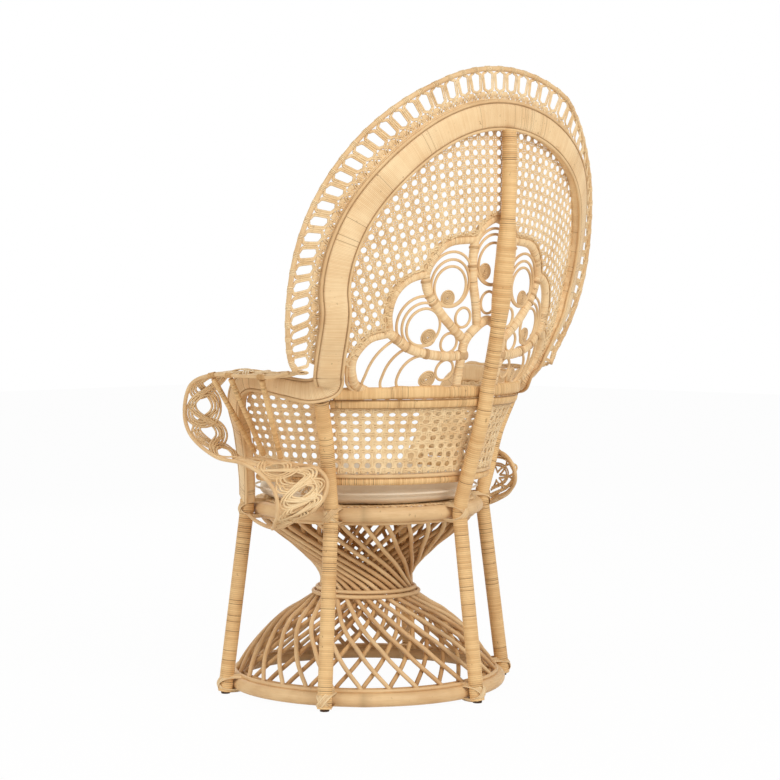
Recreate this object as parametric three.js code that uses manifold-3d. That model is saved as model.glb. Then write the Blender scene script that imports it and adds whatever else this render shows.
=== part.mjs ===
import * as THREE from 'three';
import { mergeVertices } from 'three/addons/utils/BufferGeometryUtils.js';
import Module from 'manifold-3d';

const wasm = await Module();
wasm.setup();

// Peacock chair in rattan. Millimetres, +Z up, the sitter looks along -Y, the sitter's left is +X.
// Every place below is measured from the middle of the base ring on the floor.
// The finished chair is then set over the middle of its own outline.

// Driving dimensions
const clearance = 0.3;
const baseRingRadius = 320;
const basePole = 31;
const footHeight = 5;
const footWidth = 22;
const seatRingRadius = 265;
const seatRingHeight = 435.5;
const seatPole = 34;
const legPole = 34;
const caneWidth = 9;
const waistHeight = 248;
const spineLean = 447;
const backHalfWidth = 404;
const backLift = 244;
const spineRise = 324;
const backRise = 353.5;
const backSag = 156;
const rimWidth = 59;
const rimDepth = 30;
const armRimWidth = 42;
const borderReach = 99;
const borderCrown = 103.5;
const borderLean = 437;
const borderRod = 10.5;
const armHalfWidth = 372;
const armHeight = 741;
const basketEdge = 11;
const armReach = 247;
const ruffleReach = 84;
const armRod = 9;
const strutPole = 10;
const laceThickness = 5;
const webThickness = 4;
const basketLift = 95.5;
const basketTopRadius = 375;
const hoopRail = 18;
const hoopRod = 10;
const railWidth = 27;
const railDepth = 24;
const medallionRise = 396;
const medallionHalfWidth = 319;
const medallionPole = 18;
const scrollRod = 6;
const coilWidth = 38;
const coilDepth = 7;
const deckRadius = 262;
const deckThickness = 6;
const cushionRadius = 276;
const cushionThickness = 62;

// The basket starts over the seat ring, the border follows the rim and the ruffle the arm
const basketBottom = seatRingHeight + basketLift;
const borderHalfWidth = backHalfWidth + borderReach;
const borderRise = backRise + borderCrown;
const ruffleHalfWidth = armHalfWidth + ruffleReach;

// Heights that follow the arms: the rail lies under them, the back stands on them
const railHeight = armHeight - railWidth;
const basketTop = armHeight - basketEdge;
const backMiddleHeight = armHeight + backLift;
const spineTop = backMiddleHeight + spineRise;

// Counts and angles
const ringSteps = 32;
const caneCount = 24;
const caneTurn = THREE.MathUtils.degToRad(132);
const sideLegAngle = THREE.MathUtils.degToRad(61.5);
const frontLegAngle = THREE.MathUtils.degToRad(115.5);
const archAngle = THREE.MathUtils.degToRad(105);
const borderBays = 34;
const ruffleBays = 10;

// Colours of peeled cane, wrapped cane, split cane and cushion cloth
const poleCane = 0xd9ae70;
const wrapCane = 0xdcb276;
const splitCane = 0xe0bd86;
const cushionCloth = 0xd8cdbf;
const glideRubber = 0x4a3a2c;

const chair = new THREE.Group();

function finish(color, roughness) {
  return new THREE.MeshStandardMaterial({ color, roughness, metalness: 0 });
}

function addPiece(name, geometry, color, roughness = 0.6) {
  const piece = new THREE.Mesh(geometry, finish(color, roughness));
  piece.name = name;
  chair.add(piece);
  return piece;
}

// Smooth curve through hand-chosen heights: the table holds rows of height share and value share
function smoothTable(shares, height, size) {
  const rows = shares.map(([h, s]) => new THREE.Vector3(h * height, s * size, 0));
  const curve = new THREE.CatmullRomCurve3(rows, false, 'centripetal');
  const points = curve.getPoints(12 * rows.length);
  return (z) => {
    const next = points.findIndex((point) => point.x >= z);
    if (next < 0) {
      return points[points.length - 1].y;
    }
    if (next === 0) {
      return points[0].y;
    }
    const low = points[next - 1];
    const high = points[next];
    return THREE.MathUtils.mapLinear(z, low.x, high.x, low.y, high.y);
  };
}

function mirrored(points) {
  return points.map((point) => new THREE.Vector3(-point.x, point.y, point.z));
}

function smooth(points) {
  return new THREE.CatmullRomCurve3(points, false, 'centripetal');
}

// Closed body over equal rings of points, capped at both ends unless it closes on itself
function loftBody(sections, closed = false) {
  const sides = sections[0].length;
  const positions = sections.flat().flatMap((point) => point.toArray());
  const index = [];
  const rounds = closed ? sections.length : sections.length - 1;
  for (let row = 0; row < rounds; row += 1) {
    const here = row * sides;
    const there = ((row + 1) % sections.length) * sides;
    for (let side = 0; side < sides; side += 1) {
      const next = (side + 1) % sides;
      index.push(here + side, here + next, there + next);
      index.push(here + side, there + next, there + side);
    }
  }
  if (!closed) {
    const last = (sections.length - 1) * sides;
    for (let side = 1; side < sides - 1; side += 1) {
      index.push(0, side + 1, side);
      index.push(last, last + side, last + side + 1);
    }
  }
  return outward(positions, index);
}

// Geometry whose faces point out, whichever way the rings were wound
function outward(positions, index) {
  const corner = (i) => new THREE.Vector3().fromArray(positions, 3 * i);
  let volume = 0;
  for (let i = 0; i < index.length; i += 3) {
    const a = corner(index[i]);
    volume += a.dot(corner(index[i + 1]).cross(corner(index[i + 2])));
  }
  const turned = [];
  for (let i = 0; i < index.length; i += 3) {
    turned.push(index[i], index[i + 2], index[i + 1]);
  }
  const geometry = new THREE.BufferGeometry();
  geometry.setAttribute('position', new THREE.Float32BufferAttribute(positions, 3));
  geometry.setIndex(volume < 0 ? turned : index);
  return mergeVertices(geometry);
}

function toSolid(geometry) {
  const bare = geometry.clone();
  bare.deleteAttribute('normal');
  bare.deleteAttribute('uv');
  const merged = mergeVertices(bare);
  return new wasm.Manifold(new wasm.Mesh({
    numProp: 3,
    vertProperties: new Float32Array(merged.attributes.position.array),
    triVerts: new Uint32Array(merged.index.array),
  }));
}

function toGeometry(solid) {
  const mesh = solid.getMesh();
  const geometry = new THREE.BufferGeometry();
  geometry.setAttribute('position', new THREE.Float32BufferAttribute(mesh.vertProperties, 3));
  geometry.setIndex(Array.from(mesh.triVerts));
  return geometry;
}

function joined(geometries) {
  const solids = geometries.map(toSolid);
  return toGeometry(solids.reduce((whole, solid) => whole.add(solid)));
}

function cutBy(geometry, cutters) {
  return toGeometry(cutters.map(toSolid).reduce((left, solid) => left.subtract(solid), toSolid(geometry)));
}

// Section of a flat wrapped band: four long flats with eased corners
const bandShares = [[0.5, 0.22], [0.36, 0.5], [-0.36, 0.5], [-0.5, 0.22]];
const bandSection = [...bandShares, ...bandShares.map(([w, d]) => [-w, -d])];

function roundSection(sides) {
  return Array.from({ length: sides }, (_, side) => {
    const angle = (2 * Math.PI * (side + 0.5)) / sides;
    return [0.5 * Math.cos(angle), 0.5 * Math.sin(angle)];
  });
}

// Sweep of a section along a curve, its depth turned to the outward direction given for each share
function sweptBody(curve, steps, section, sizeAt, outwardAt) {
  const sections = [];
  for (let step = 0; step <= steps; step += 1) {
    const share = step / steps;
    const centre = curve.getPoint(share);
    const along = curve.getTangent(share);
    const depthWay = outwardAt(share, centre).clone();
    depthWay.addScaledVector(along, -depthWay.dot(along)).normalize();
    const widthWay = new THREE.Vector3().crossVectors(depthWay, along).normalize();
    const [width, depth] = sizeAt(share);
    sections.push(section.map(([w, d]) => centre.clone()
      .addScaledVector(widthWay, w * width)
      .addScaledVector(depthWay, d * depth)));
  }
  return loftBody(sections);
}

// Round rod bent along a curve
function rodBody(curve, diameter, steps, sides = 5) {
  const outline = new THREE.Shape(roundSection(sides).map(([x, y]) => new THREE.Vector2(x, y)
    .multiplyScalar(diameter)));
  const rod = new THREE.ExtrudeGeometry(outline, { steps, extrudePath: curve, bevelEnabled: false });
  rod.deleteAttribute('normal');
  rod.deleteAttribute('uv');
  return mergeVertices(rod);
}

function ringBody(radius, diameter, height, sides = ringSides, steps = ringSteps) {
  const ring = new THREE.TorusGeometry(radius, diameter / 2, sides, steps);
  ring.deleteAttribute('normal');
  ring.deleteAttribute('uv');
  ring.translate(0, 0, height);
  return mergeVertices(ring);
}

// Pole made of level rings of points: each station is a middle and a diameter.
// Two of its edges lie on the line to the chair's axis, so that it seats there at its full thickness.
const poleSides = 8;

function poleBody(stations, angle) {
  const edges = Array.from({ length: poleSides }, (_, side) => angle + (2 * Math.PI * side) / poleSides);
  return loftBody(stations.map(([centre, diameter]) => edges.map((edge) =>
    around(edge, diameter / 2, 0).add(centre))));
}

// Sheet pierced by a repeated bay. The bay's holes are given in shares of its width and height.
function piercedSheet({ columns, rows, holes, place, thickness }) {
  const corners = [[0, 0], [1, 0], [1, 1], [0, 1]];
  const toPlane = (list) => list.map(([x, y]) => new THREE.Vector2(x, y));
  const faces = THREE.ShapeUtils.triangulateShape(toPlane(corners), holes.map(toPlane));
  const spots = [...corners, ...holes.flat()];
  const positions = [];
  const index = [];
  const reach = 1e-3;
  for (let column = 0; column < columns; column += 1) {
    for (let row = 0; row < rows; row += 1) {
      const first = positions.length / 3;
      for (const [x, y] of spots) {
        const u = (column + x) / columns;
        const v = (row + y) / rows;
        const middle = place(u, v);
        const alongU = place(u + reach, v).sub(place(u - reach, v));
        const alongV = place(u, v + reach).sub(place(u, v - reach));
        const side = alongU.cross(alongV).normalize().multiplyScalar(thickness / 2);
        positions.push(...middle.clone().add(side).toArray());
        positions.push(...middle.sub(side).toArray());
      }
      const front = (i) => first + 2 * i;
      const back = (i) => first + 2 * i + 1;
      for (const [a, b, c] of faces) {
        index.push(front(a), front(b), front(c));
        index.push(back(a), back(c), back(b));
      }
      const wall = (from, to) => {
        index.push(front(from), back(from), back(to));
        index.push(front(from), back(to), front(to));
      };
      const open = [row === 0, column === columns - 1, row === rows - 1, column === 0];
      open.forEach((isOpen, side) => isOpen && wall(side, (side + 1) % corners.length));
      let start = corners.length;
      for (const hole of holes) {
        hole.forEach((_, i) => wall(start + i, start + ((i + 1) % hole.length)));
        start += hole.length;
      }
    }
  }
  return outward(positions, index);
}

// Bays of the open work, their holes turned the way of the bay's outline
const diamondShares = [[0.5, 0.16], [0.16, 0.5], [0.5, 0.84], [0.84, 0.5]];
const borderBayShares = [[0.2, 0.34], [0.3, 0.57], [0.2, 0.8], [0.8, 0.8], [0.7, 0.57], [0.8, 0.34]];
const ruffleBayShares = [
  [[0.2, 0.14], [0.5, 0.4], [0.8, 0.14]],
  [[0.86, 0.22], [0.6, 0.5], [0.86, 0.78]],
  [[0.8, 0.86], [0.5, 0.6], [0.2, 0.86]],
  [[0.14, 0.78], [0.4, 0.5], [0.14, 0.22]],
];

// Base ring and seat ring, each a bent pole, with glides under the legs
const footTop = footHeight + clearance;
const baseRingHeight = footTop + basePole / 2;
const ringSides = 6;
const ringFlatShare = Math.cos(Math.PI / ringSides) / 2;
addPiece('base_ring', ringBody(baseRingRadius, basePole, baseRingHeight), poleCane);
addPiece('seat_ring', ringBody(seatRingRadius, seatPole, seatRingHeight), poleCane);

// Five wrapped legs stand outside the rings and touch both
function around(angle, radius, height) {
  return new THREE.Vector3(radius * Math.sin(angle), radius * Math.cos(angle), height);
}

// Distance from the axis to a bent ring's faceted outside, at the angle of a leg
function ringReach(radius, angle) {
  const facet = (2 * Math.PI) / ringSteps;
  const start = Math.PI / 2 - angle;
  const off = start - Math.floor(start / facet) * facet - facet / 2;
  return (radius * Math.cos(facet / 2)) / Math.cos(off);
}

function baseSeat(angle) {
  return ringReach(baseRingRadius + basePole / 2, angle) + legPole / 2 + clearance;
}

function seatSeat(angle) {
  return ringReach(seatRingRadius + seatPole / 2, angle) + legPole / 2 + clearance;
}

function legFoot(angle) {
  const slope = (seatSeat(angle) - baseSeat(angle)) / (seatRingHeight - baseRingHeight);
  return baseSeat(angle) + slope * (footTop - baseRingHeight);
}

// The basket's wall is a flared revolve: radius at each height
const basketShares = [[0.6, 0.73], [0.71, 0.789], [0.83, 0.847], [0.95, 0.945], [1, 0.974], [1.05, 1]];
const basketRadius = smoothTable(basketShares, basketTop, basketTopRadius);

// Back spine: height share of its top, and lean share
const spineShares = [
  [0.364, 0.69], [0.447, 0.774], [0.508, 0.832], [0.568, 0.866], [0.612, 0.898],
  [0.672, 0.933], [0.751, 0.962], [0.8235, 0.987], [0.921, 1], [1, 0.998],
];
const spineDepth = smoothTable(spineShares, spineTop, spineLean);

// Every leg touches the base ring at its foot and the seat ring above
function legStart(angle) {
  return [
    [around(angle, legFoot(angle), footTop), legPole],
    [around(angle, seatSeat(angle), seatRingHeight), legPole],
  ];
}

// The front legs end level; the arm rim's post stands on them
const postFoot = seatRingHeight + seatPole * 0.66;

const legBesideBasket = (legPole + webThickness) / 2 + 3 * clearance;

function addLegs() {
  const legs = {
    leg_rear_left: sideLegAngle,
    leg_rear_right: -sideLegAngle,
    leg_front_left: frontLegAngle,
    leg_front_right: -frontLegAngle,
  };
  const overLeg = armTrack.filter((row) => Math.abs(row.angle - sideLegAngle) < legPole / armReach);
  const sideTop = Math.min(...overLeg.map((row) => row.height - rimWidthAt(row.share) / 2)) - clearance;
  for (const [name, angle] of Object.entries(legs)) {
    const stations = legStart(angle);
    if (Math.abs(angle) === frontLegAngle) {
      stations.push([around(angle, seatSeat(angle), postFoot - clearance), legPole]);
    } else {
      const rise = (sideTop - seatRingHeight) / 4;
      for (let step = 1; step <= 4; step += 1) {
        const height = seatRingHeight + step * rise;
        const radius = Math.max(seatSeat(angle), basketRadius(height) + legBesideBasket);
        stations.push([around(angle, radius, height), legPole]);
      }
    }
    addPiece(name, poleBody(stations, angle), wrapCane);
    addPiece(name.replace('leg', 'glide'), glideBody(angle), glideRubber, 0.8);
  }
  addPiece('glide_back', glideBody(0), glideRubber, 0.8);
}

function glideBody(angle) {
  const glide = new THREE.CylinderGeometry(footWidth / 2, footWidth / 2, footHeight, 8);
  glide.rotateX(Math.PI / 2);
  const place = around(angle, legFoot(angle), footHeight / 2);
  glide.translate(place.x, place.y, place.z);
  return glide;
}

// The rear leg runs on as the spine. It is thicker where two poles overlap under the wrap.
const spliceShares = [0.7, 0.835];
const spliceSwellShare = 1.3;

function addSpine() {
  const stations = legStart(0);
  const steps = 13;
  const low = spineShares[0][0] * spineTop;
  const high = spineTop - 4 * clearance;
  for (let step = 0; step <= steps; step += 1) {
    const height = THREE.MathUtils.mapLinear(step, 0, steps, low, high);
    const share = height / spineTop;
    const spliced = share > spliceShares[0] && share < spliceShares[1];
    const diameter = spliced ? legPole * spliceSwellShare : legPole;
    const overBasket = height < basketTop ? basketRadius(height) + legBesideBasket : 0;
    const depth = Math.max(spineDepth(height), overBasket);
    stations.push([new THREE.Vector3(0, depth, height), diameter]);
  }
  addPiece('back_spine', poleBody(stations, 0), wrapCane);
}

// Lattice pedestal: two layers of canes wind opposite ways round a waisted profile.
// Rows are height share of the lattice and outer radius share of the base ring.
const latticeBottom = baseRingHeight + basePole * ringFlatShare + clearance;
const latticeTop = seatRingHeight - seatPole * ringFlatShare - clearance;
const latticeShares = [
  [0, 1], [0.04, 0.97], [0.089, 0.931], [0.168, 0.859], [0.24, 0.784], [0.301, 0.709], [0.364, 0.616],
  [0.416, 0.509], [0.487, 0.384], [0.52, 0.357], [0.555, 0.346], [0.586, 0.346], [0.613, 0.356],
  [0.675, 0.403], [0.738, 0.478], [0.809, 0.572], [0.874, 0.672], [0.94, 0.766], [1, 0.82],
];
const latticeProfile = smoothTable(latticeShares, 1, baseRingRadius);
const latticeStations = [0, 0.15, 0.3, 0.43, 0.53, 0.66, 0.82, 1];
const twistShares = [0, 0.115, 0.235, 0.36, 0.505, 0.69, 0.85, 1];

// Heights, radii and turns of the canes at each station
function latticeLevels(inset, way) {
  const low = latticeBottom + caneWidth;
  const high = latticeTop - caneWidth;
  return latticeStations.map((share, i) => {
    const height = low + share * (high - low);
    const radius = latticeProfile((height - latticeBottom) / (latticeTop - latticeBottom)) - inset;
    return { height, radius, turn: way * caneTurn * twistShares[i] };
  });
}

function latticeLayer(inset, way) {
  const slot = (2 * Math.PI) / caneCount;
  const half = caneWidth / 2;
  const ring = (height, radius, shift) => {
    const points = [];
    for (let cane = 0; cane < caneCount; cane += 1) {
      for (const side of [-1, 1]) {
        const angle = cane * slot + shift + (side * half) / radius;
        points.push([angle, height, radius]);
      }
    }
    return points;
  };
  const levels = latticeLevels(inset, way);
  const positions = [];
  const index = [];
  const addPoint = (angle, height, radius) => {
    positions.push(...around(angle, radius, height).toArray());
    return positions.length / 3 - 1;
  };
  const quad = (a, b, c, d) => index.push(a, b, c, a, c, d);
  // Canes: level quads, widened for the slope so that each cane keeps its own width
  const caneRows = levels.map((level, i) => {
    const before = levels[Math.max(i - 1, 0)];
    const after = levels[Math.min(i + 1, levels.length - 1)];
    const run = ((after.turn - before.turn) * level.radius) / (after.height - before.height);
    const flare = (after.radius - before.radius) / (after.height - before.height);
    const isEnd = i === 0 || i === levels.length - 1;
    const width = isEnd ? caneWidth : Math.min(caneWidth * Math.hypot(1, run), slot * level.radius * 0.8);
    const depth = isEnd ? caneWidth : Math.min(caneWidth * 0.9 * Math.hypot(1, flare), caneWidth * 1.5);
    return Array.from({ length: caneCount }, (_, cane) => {
      const middle = cane * slot + level.turn;
      const spread = width / 2 / level.radius;
      return [
        addPoint(middle - spread, level.height, level.radius),
        addPoint(middle + spread, level.height, level.radius),
        addPoint(middle + spread, level.height, level.radius - depth),
        addPoint(middle - spread, level.height, level.radius - depth),
      ];
    });
  });
  for (let row = 0; row < caneRows.length - 1; row += 1) {
    caneRows[row].forEach((quadHere, cane) => {
      const quadThere = caneRows[row + 1][cane];
      for (let side = 0; side < 4; side += 1) {
        const next = (side + 1) % 4;
        quad(quadHere[side], quadHere[next], quadThere[next], quadThere[side]);
      }
    });
  }
  // End hoops: the canes grow out of their flat faces
  const addHoop = (row, level, farHeight, up) => {
    const outer = ring(farHeight, level.radius, level.turn).map(([a, h, r]) => addPoint(a, h, r));
    const inner = ring(farHeight, level.radius, level.turn)
      .map(([a, h, r]) => addPoint(a, h, r - caneWidth));
    const nearOuter = row.flatMap((q) => [q[0], q[1]]);
    const nearInner = row.flatMap((q) => [q[3], q[2]]);
    const count = nearOuter.length;
    const face = (a, b, c, d) => (up ? quad(a, b, c, d) : quad(d, c, b, a));
    for (let i = 0; i < count; i += 1) {
      const next = (i + 1) % count;
      face(outer[i], outer[next], nearOuter[next], nearOuter[i]);
      face(nearInner[i], nearInner[next], inner[next], inner[i]);
      face(inner[i], inner[next], outer[next], outer[i]);
      if (i % 2 === 1) {
        face(nearOuter[i], nearOuter[next], nearInner[next], nearInner[i]);
      }
    }
  };
  addHoop(caneRows[0], levels[0], latticeBottom, true);
  addHoop(caneRows[caneRows.length - 1], levels[levels.length - 1], latticeTop, false);
  return outward(positions, index);
}

function addPedestal() {
  addPiece('lattice_outer', latticeLayer(0, 1), poleCane);
  addPiece('lattice_inner', latticeLayer(caneWidth * 1.62, -1), poleCane);
  // Each hoop's flats lie on the canes where they pass it
  const levels = latticeLevels(0, 1);
  const hoopHeights = [waistHeight - 1.3 * caneWidth, waistHeight - 2.4 * caneWidth];
  ['waist_hoop_upper', 'waist_hoop_lower'].forEach((name, i) => {
    const above = levels.findIndex((level) => level.height > hoopHeights[i]);
    const [low, high] = [levels[above - 1], levels[above]];
    const share = (hoopHeights[i] - low.height) / (high.height - low.height);
    const start = around(low.turn, low.radius, low.height);
    const cane = start.lerp(around(high.turn, high.radius, high.height), share);
    const inner = (Math.hypot(cane.x, cane.y) + clearance) / Math.cos(Math.PI / caneCount);
    const hoop = ringBody(inner + caneWidth / 2, caneWidth, hoopHeights[i], 4, caneCount);
    hoop.rotateZ(Math.atan2(cane.y, cane.x) + Math.PI / caneCount);
    addPiece(name, hoop, poleCane);
  });
}

// Seat: a round woven deck on the ring, and a loose crowned cushion on the deck
const deckBottom = seatRingHeight + seatPole * ringFlatShare + clearance;
const cushionBottom = deckBottom + deckThickness + clearance;

function addSeat() {
  const deckProfile = [[0, 0], [1, 0], [1, 1], [0, 1]].map(([r, h]) =>
    new THREE.Vector2(r * deckRadius, deckBottom + h * deckThickness));
  addPiece('seat_deck', turned(deckProfile, ringSteps), splitCane, 0.8);
  // Half section of the cushion: flat rest, drawn-in side at the seam, crown
  const cushionShares = [
    [0, 0], [0.82, 0], [0.95, 0.1], [0.995, 0.27], [0.975, 0.42], [0.985, 0.55],
    [0.9, 0.82], [0.72, 0.94], [0.4, 0.99], [0, 1],
  ];
  const cushionProfile = cushionShares.map(([r, h]) =>
    new THREE.Vector2(r * cushionRadius, cushionBottom + h * cushionThickness));
  addPiece('seat_cushion', turned(cushionProfile, ringSteps), cushionCloth, 0.9);
}

function turned(profile, steps) {
  const body = new THREE.LatheGeometry(profile, steps);
  body.rotateX(Math.PI / 2);
  body.deleteAttribute('normal');
  body.deleteAttribute('uv');
  const merged = mergeVertices(body, clearance / 100);
  return outward(Array.from(merged.attributes.position.array), dropSlivers(merged));
}

function dropSlivers(geometry) {
  const index = Array.from(geometry.index.array);
  const kept = [];
  for (let i = 0; i < index.length; i += 3) {
    const [a, b, c] = index.slice(i, i + 3);
    if (a !== b && b !== c && c !== a) {
      kept.push(a, b, c);
    }
  }
  return kept;
}

// The back is a hollow leaning sheet: the spine's lean, less a sag that grows to the sides
const backSet = legPole / 2 + clearance + webThickness / 2 + 2 * clearance;
const sagShares = [
  [0.535, 1.73], [0.563, 1.39], [0.582, 1.14], [0.611, 1], [0.649, 0.87],
  [0.739, 0.737], [0.864, 0.583], [0.963, 0.314], [1.022, 0.128], [1.06, 0.08],
];
const sagAt = smoothTable(sagShares, spineTop, backSag);

function onBack(x, z) {
  const sag = sagAt(z) * (x / backHalfWidth) ** 2;
  return new THREE.Vector3(x, spineDepth(z) - backSet - sag, z);
}

function backFacing(x, z) {
  const slope = (2 * sagAt(z) * x) / backHalfWidth ** 2;
  return new THREE.Vector3(slope, 1, 0).normalize();
}

// Centre line of the wrapped rim: an arch, then a bend at each lower corner on to the arm
const rimSet = 8;
const archSteps = 12;

function rimOnArch(angle) {
  const x = backHalfWidth * Math.sin(angle);
  const z = backMiddleHeight + backRise * Math.cos(angle);
  return onBack(x, z).addScaledVector(backFacing(x, z), rimSet * Math.cos(angle / 2));
}

// Places along the arm rim in shares of arm half width, reach and height, and its facing in degrees
const armRimShares = [
  [0.997, 1, 1.08, 55], [0.965, 0.931, 1.028, 50], [0.914, 0.85, 0.995, 42],
  [0.946, 0.708, 0.977, 25], [0.981, 0.445, 0.986, 12], [1, 0.186, 1, 2],
  [1, -0.04, 1, -5], [0.987, -0.194, 0.969, -8], [0.957, -0.275, 0.911, -10],
  [0.876, -0.34, 0.837, -15], [0.815, -0.397, 0.756, -18], [0.763, -0.457, 0.675, -22],
  [0.715, -0.535, 0.6, -25],
];

function armPlace([x, y, z]) {
  return new THREE.Vector3(x * armHalfWidth, y * armReach, z * armHeight);
}

const archPoints = [];
for (let step = -archSteps; step <= archSteps; step += 1) {
  archPoints.push(rimOnArch((archAngle * step) / archSteps));
}
const armPoints = armRimShares.map(armPlace);
const rimCurve = smooth([...mirrored(armPoints).reverse(), ...archPoints, ...armPoints]);
const rimSpans = archPoints.length + 2 * armPoints.length - 1;
const armStart = 1 - (armPoints.length - 1) / rimSpans;
const seamShare = armStart + 1 / rimSpans;

// Outward facing of the band: square to the back on the arch, then turned as the arm's rows say
function rimFacing(share, centre) {
  const half = share < 0.5 ? 1 - share : share;
  const way = share < 0.5 ? -1 : 1;
  if (half <= armStart) {
    return backFacing(centre.x, centre.z);
  }
  const place = (half - armStart) * rimSpans;
  const low = Math.min(Math.floor(place), armRimShares.length - 2);
  const angle = THREE.MathUtils.lerp(armRimShares[low][3], armRimShares[low + 1][3], place - low);
  const turn = THREE.MathUtils.degToRad(angle);
  return new THREE.Vector3(way * Math.cos(turn), Math.sin(turn), 0);
}

function rimWidthAt(share) {
  const half = share < 0.5 ? 1 - share : share;
  const onArm = THREE.MathUtils.clamp((half - seamShare) / (1 - seamShare), 0, 1);
  return THREE.MathUtils.lerp(rimWidth, armRimWidth, Math.min(1, onArm * 4));
}

function rimBody(from, to, steps, grow) {
  const at = (share) => THREE.MathUtils.lerp(from, to, share);
  const stretch = {
    getPoint: (share) => rimCurve.getPoint(at(share)),
    getTangent: (share) => rimCurve.getTangent(at(share)),
  };
  return sweptBody(stretch, steps, bandSection, (share) => [rimWidthAt(at(share)) + grow, rimDepth + grow],
    (share, centre) => rimFacing(at(share), centre));
}

const rimSteps = 32;
const armSteps = 17;
const slack = 2 * clearance;
const seamGap = (3 * clearance) / rimCurve.getLength();

function backRimBody(grow) {
  return rimBody(1 - seamShare, seamShare, rimSteps, grow);
}

function addRims() {
  addPiece('back_rim', backRimBody(0), wrapCane);
  const floor = new THREE.BoxGeometry(3 * armHalfWidth, 3 * armHalfWidth, postFoot);
  floor.translate(0, 0, postFoot / 2);
  const arm = cutBy(rimBody(seamShare + seamGap, 1, armSteps, 0), [floor]);
  addPiece('arm_rim_left', arm, wrapCane);
  addPiece('arm_rim_right', flipped(arm), wrapCane);
}

// A mirrored copy keeps shared points, so its faces are wound the other way round
function flipped(geometry) {
  const copy = geometry.clone();
  copy.scale(-1, 1, 1);
  return outward(Array.from(copy.attributes.position.array), Array.from(copy.index.array));
}

// Outer rod of the back: a taller arch that leans less than the rim
const borderAngle = THREE.MathUtils.degToRad(118.4);
const borderLeanShares = [
  [0.553, 0.485], [0.596, 0.529], [0.642, 0.574], [0.687, 0.613], [0.733, 0.652], [0.776, 0.693],
  [0.816, 0.739], [0.854, 0.787], [0.889, 0.835], [0.92, 0.888], [0.946, 0.938], [0.968, 0.984], [1, 1],
];
const borderTop = backMiddleHeight + borderRise;
const borderDepth = smoothTable(borderLeanShares, borderTop, borderLean);

function borderPoint(angle) {
  const z = backMiddleHeight + borderRise * Math.cos(angle);
  return new THREE.Vector3(borderHalfWidth * Math.sin(angle), borderDepth(z), z);
}

// A place at the rim's edge: a positive reach lies outside the band, a negative one inside the arch
function rimEdge(share, reach) {
  const centre = rimCurve.getPoint(share);
  const along = rimCurve.getTangent(share);
  const side = new THREE.Vector3().crossVectors(along, rimFacing(share, centre)).normalize();
  return centre.addScaledVector(side, reach);
}

function addBorder() {
  const points = [];
  for (let bay = 0; bay <= borderBays; bay += 1) {
    points.push(borderPoint(borderAngle * ((2 * bay) / borderBays - 1)));
  }
  addPiece('back_outer_rod', rodBody(smooth(points), borderRod, borderBays, 5), poleCane);
  const lace = piercedSheet({
    columns: borderBays,
    rows: 1,
    holes: [borderBayShares],
    thickness: laceThickness,
    place: (u, v) => {
      const low = 1 - armStart - 0.4 / rimSpans;
      const inner = rimEdge(THREE.MathUtils.lerp(low, 1 - low, u), rimWidth / 2 + 7 * clearance);
      const outer = borderPoint(borderAngle * (2 * u - 1));
      const inset = (borderRod / 2 + 3 * clearance) / inner.distanceTo(outer);
      return inner.lerp(outer, v * (1 - inset));
    },
  });
  addPiece('back_lace', lace, splitCane, 0.7);
}

// Medallion: seven lobes round a small arch. Places are shares of half width and of the rise over the rail.
const medallionInset = (medallionPole + webThickness) / 2 + 13 * clearance;
const medallionLines = {
  lobeA: [[0.79, 0.0101], [0.912, 0.0682], [0.987, 0.149], [1, 0.2323], [0.944, 0.3182], [0.821, 0.351]],
  lobeB: [[0.821, 0.351], [0.85, 0.4571], [0.824, 0.5707], [0.746, 0.6439], [0.614, 0.6843]],
  lobeC: [[0.614, 0.6843], [0.567, 0.7727], [0.455, 0.8535], [0.207, 0.8813]],
  stemAB: [[0.207, 0.2197], [0.329, 0.2146], [0.47, 0.2247], [0.643, 0.2601], [0.821, 0.351]],
  stemBC: [[0.213, 0.3081], [0.351, 0.3889], [0.47, 0.4747], [0.577, 0.5833], [0.614, 0.6843]],
  stemCD: [[0.103, 0.3838], [0.138, 0.5076], [0.182, 0.6263], [0.207, 0.7475], [0.207, 0.8813]],
};
const lobeDShares = [[-0.207, 0.8813], [-0.132, 0.9545], [0, 1], [0.132, 0.9545], [0.207, 0.8813]];
const archShares = [
  [-0.2, 0.0227], [-0.207, 0.2197], [-0.2, 0.298], [-0.132, 0.3636], [0, 0.4192],
  [0.132, 0.3636], [0.2, 0.298], [0.207, 0.2197], [0.2, 0.0227],
];

// The medallion lies just in front of the webbing
function onMedallion(x, z) {
  return onBack(x, z).add(new THREE.Vector3(0, -medallionInset, 0));
}

function overRail(share) {
  return railHeight + share * medallionRise;
}

function medallionPlace([x, z], mirror = 1) {
  return onMedallion(mirror * x * medallionHalfWidth, overRail(z));
}

function medallionRods() {
  const rods = [];
  const addRod = (shares, mirror) => {
    const curve = smooth(shares.map((share) => medallionPlace(share, mirror)));
    rods.push(rodBody(curve, medallionPole, shares.length, 5));
  };
  for (const shares of Object.values(medallionLines)) {
    addRod(shares, 1);
    addRod(shares, -1);
  }
  addRod(lobeDShares, 1);
  addRod(archShares, 1);
  return rods;
}

// Scrolls: in each lobe bent rods nest inside each other, meet at one place and hold a flat coil.
// Rows are that place, the coil's place, the direction to the lobe's crown in degrees and the bends' radii.
const scrollShares = [
  [0.404, 0.0732, 0.457, 0.0859, 20, 0.248, 0.188, 0.132],
  [0.486, 0.2904, 0.524, 0.3232, 53, 0.182, 0.154, 0.129],
  [0.389, 0.4899, 0.408, 0.5429, 90, 0.195, 0.165, 0.138],
  [0, 0.6136, 0.082, 0.697, 90, 0.204, 0.18, 0.147],
];
const bendSteps = 8;
const wholeBendAngle = THREE.MathUtils.degToRad(350);

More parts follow.
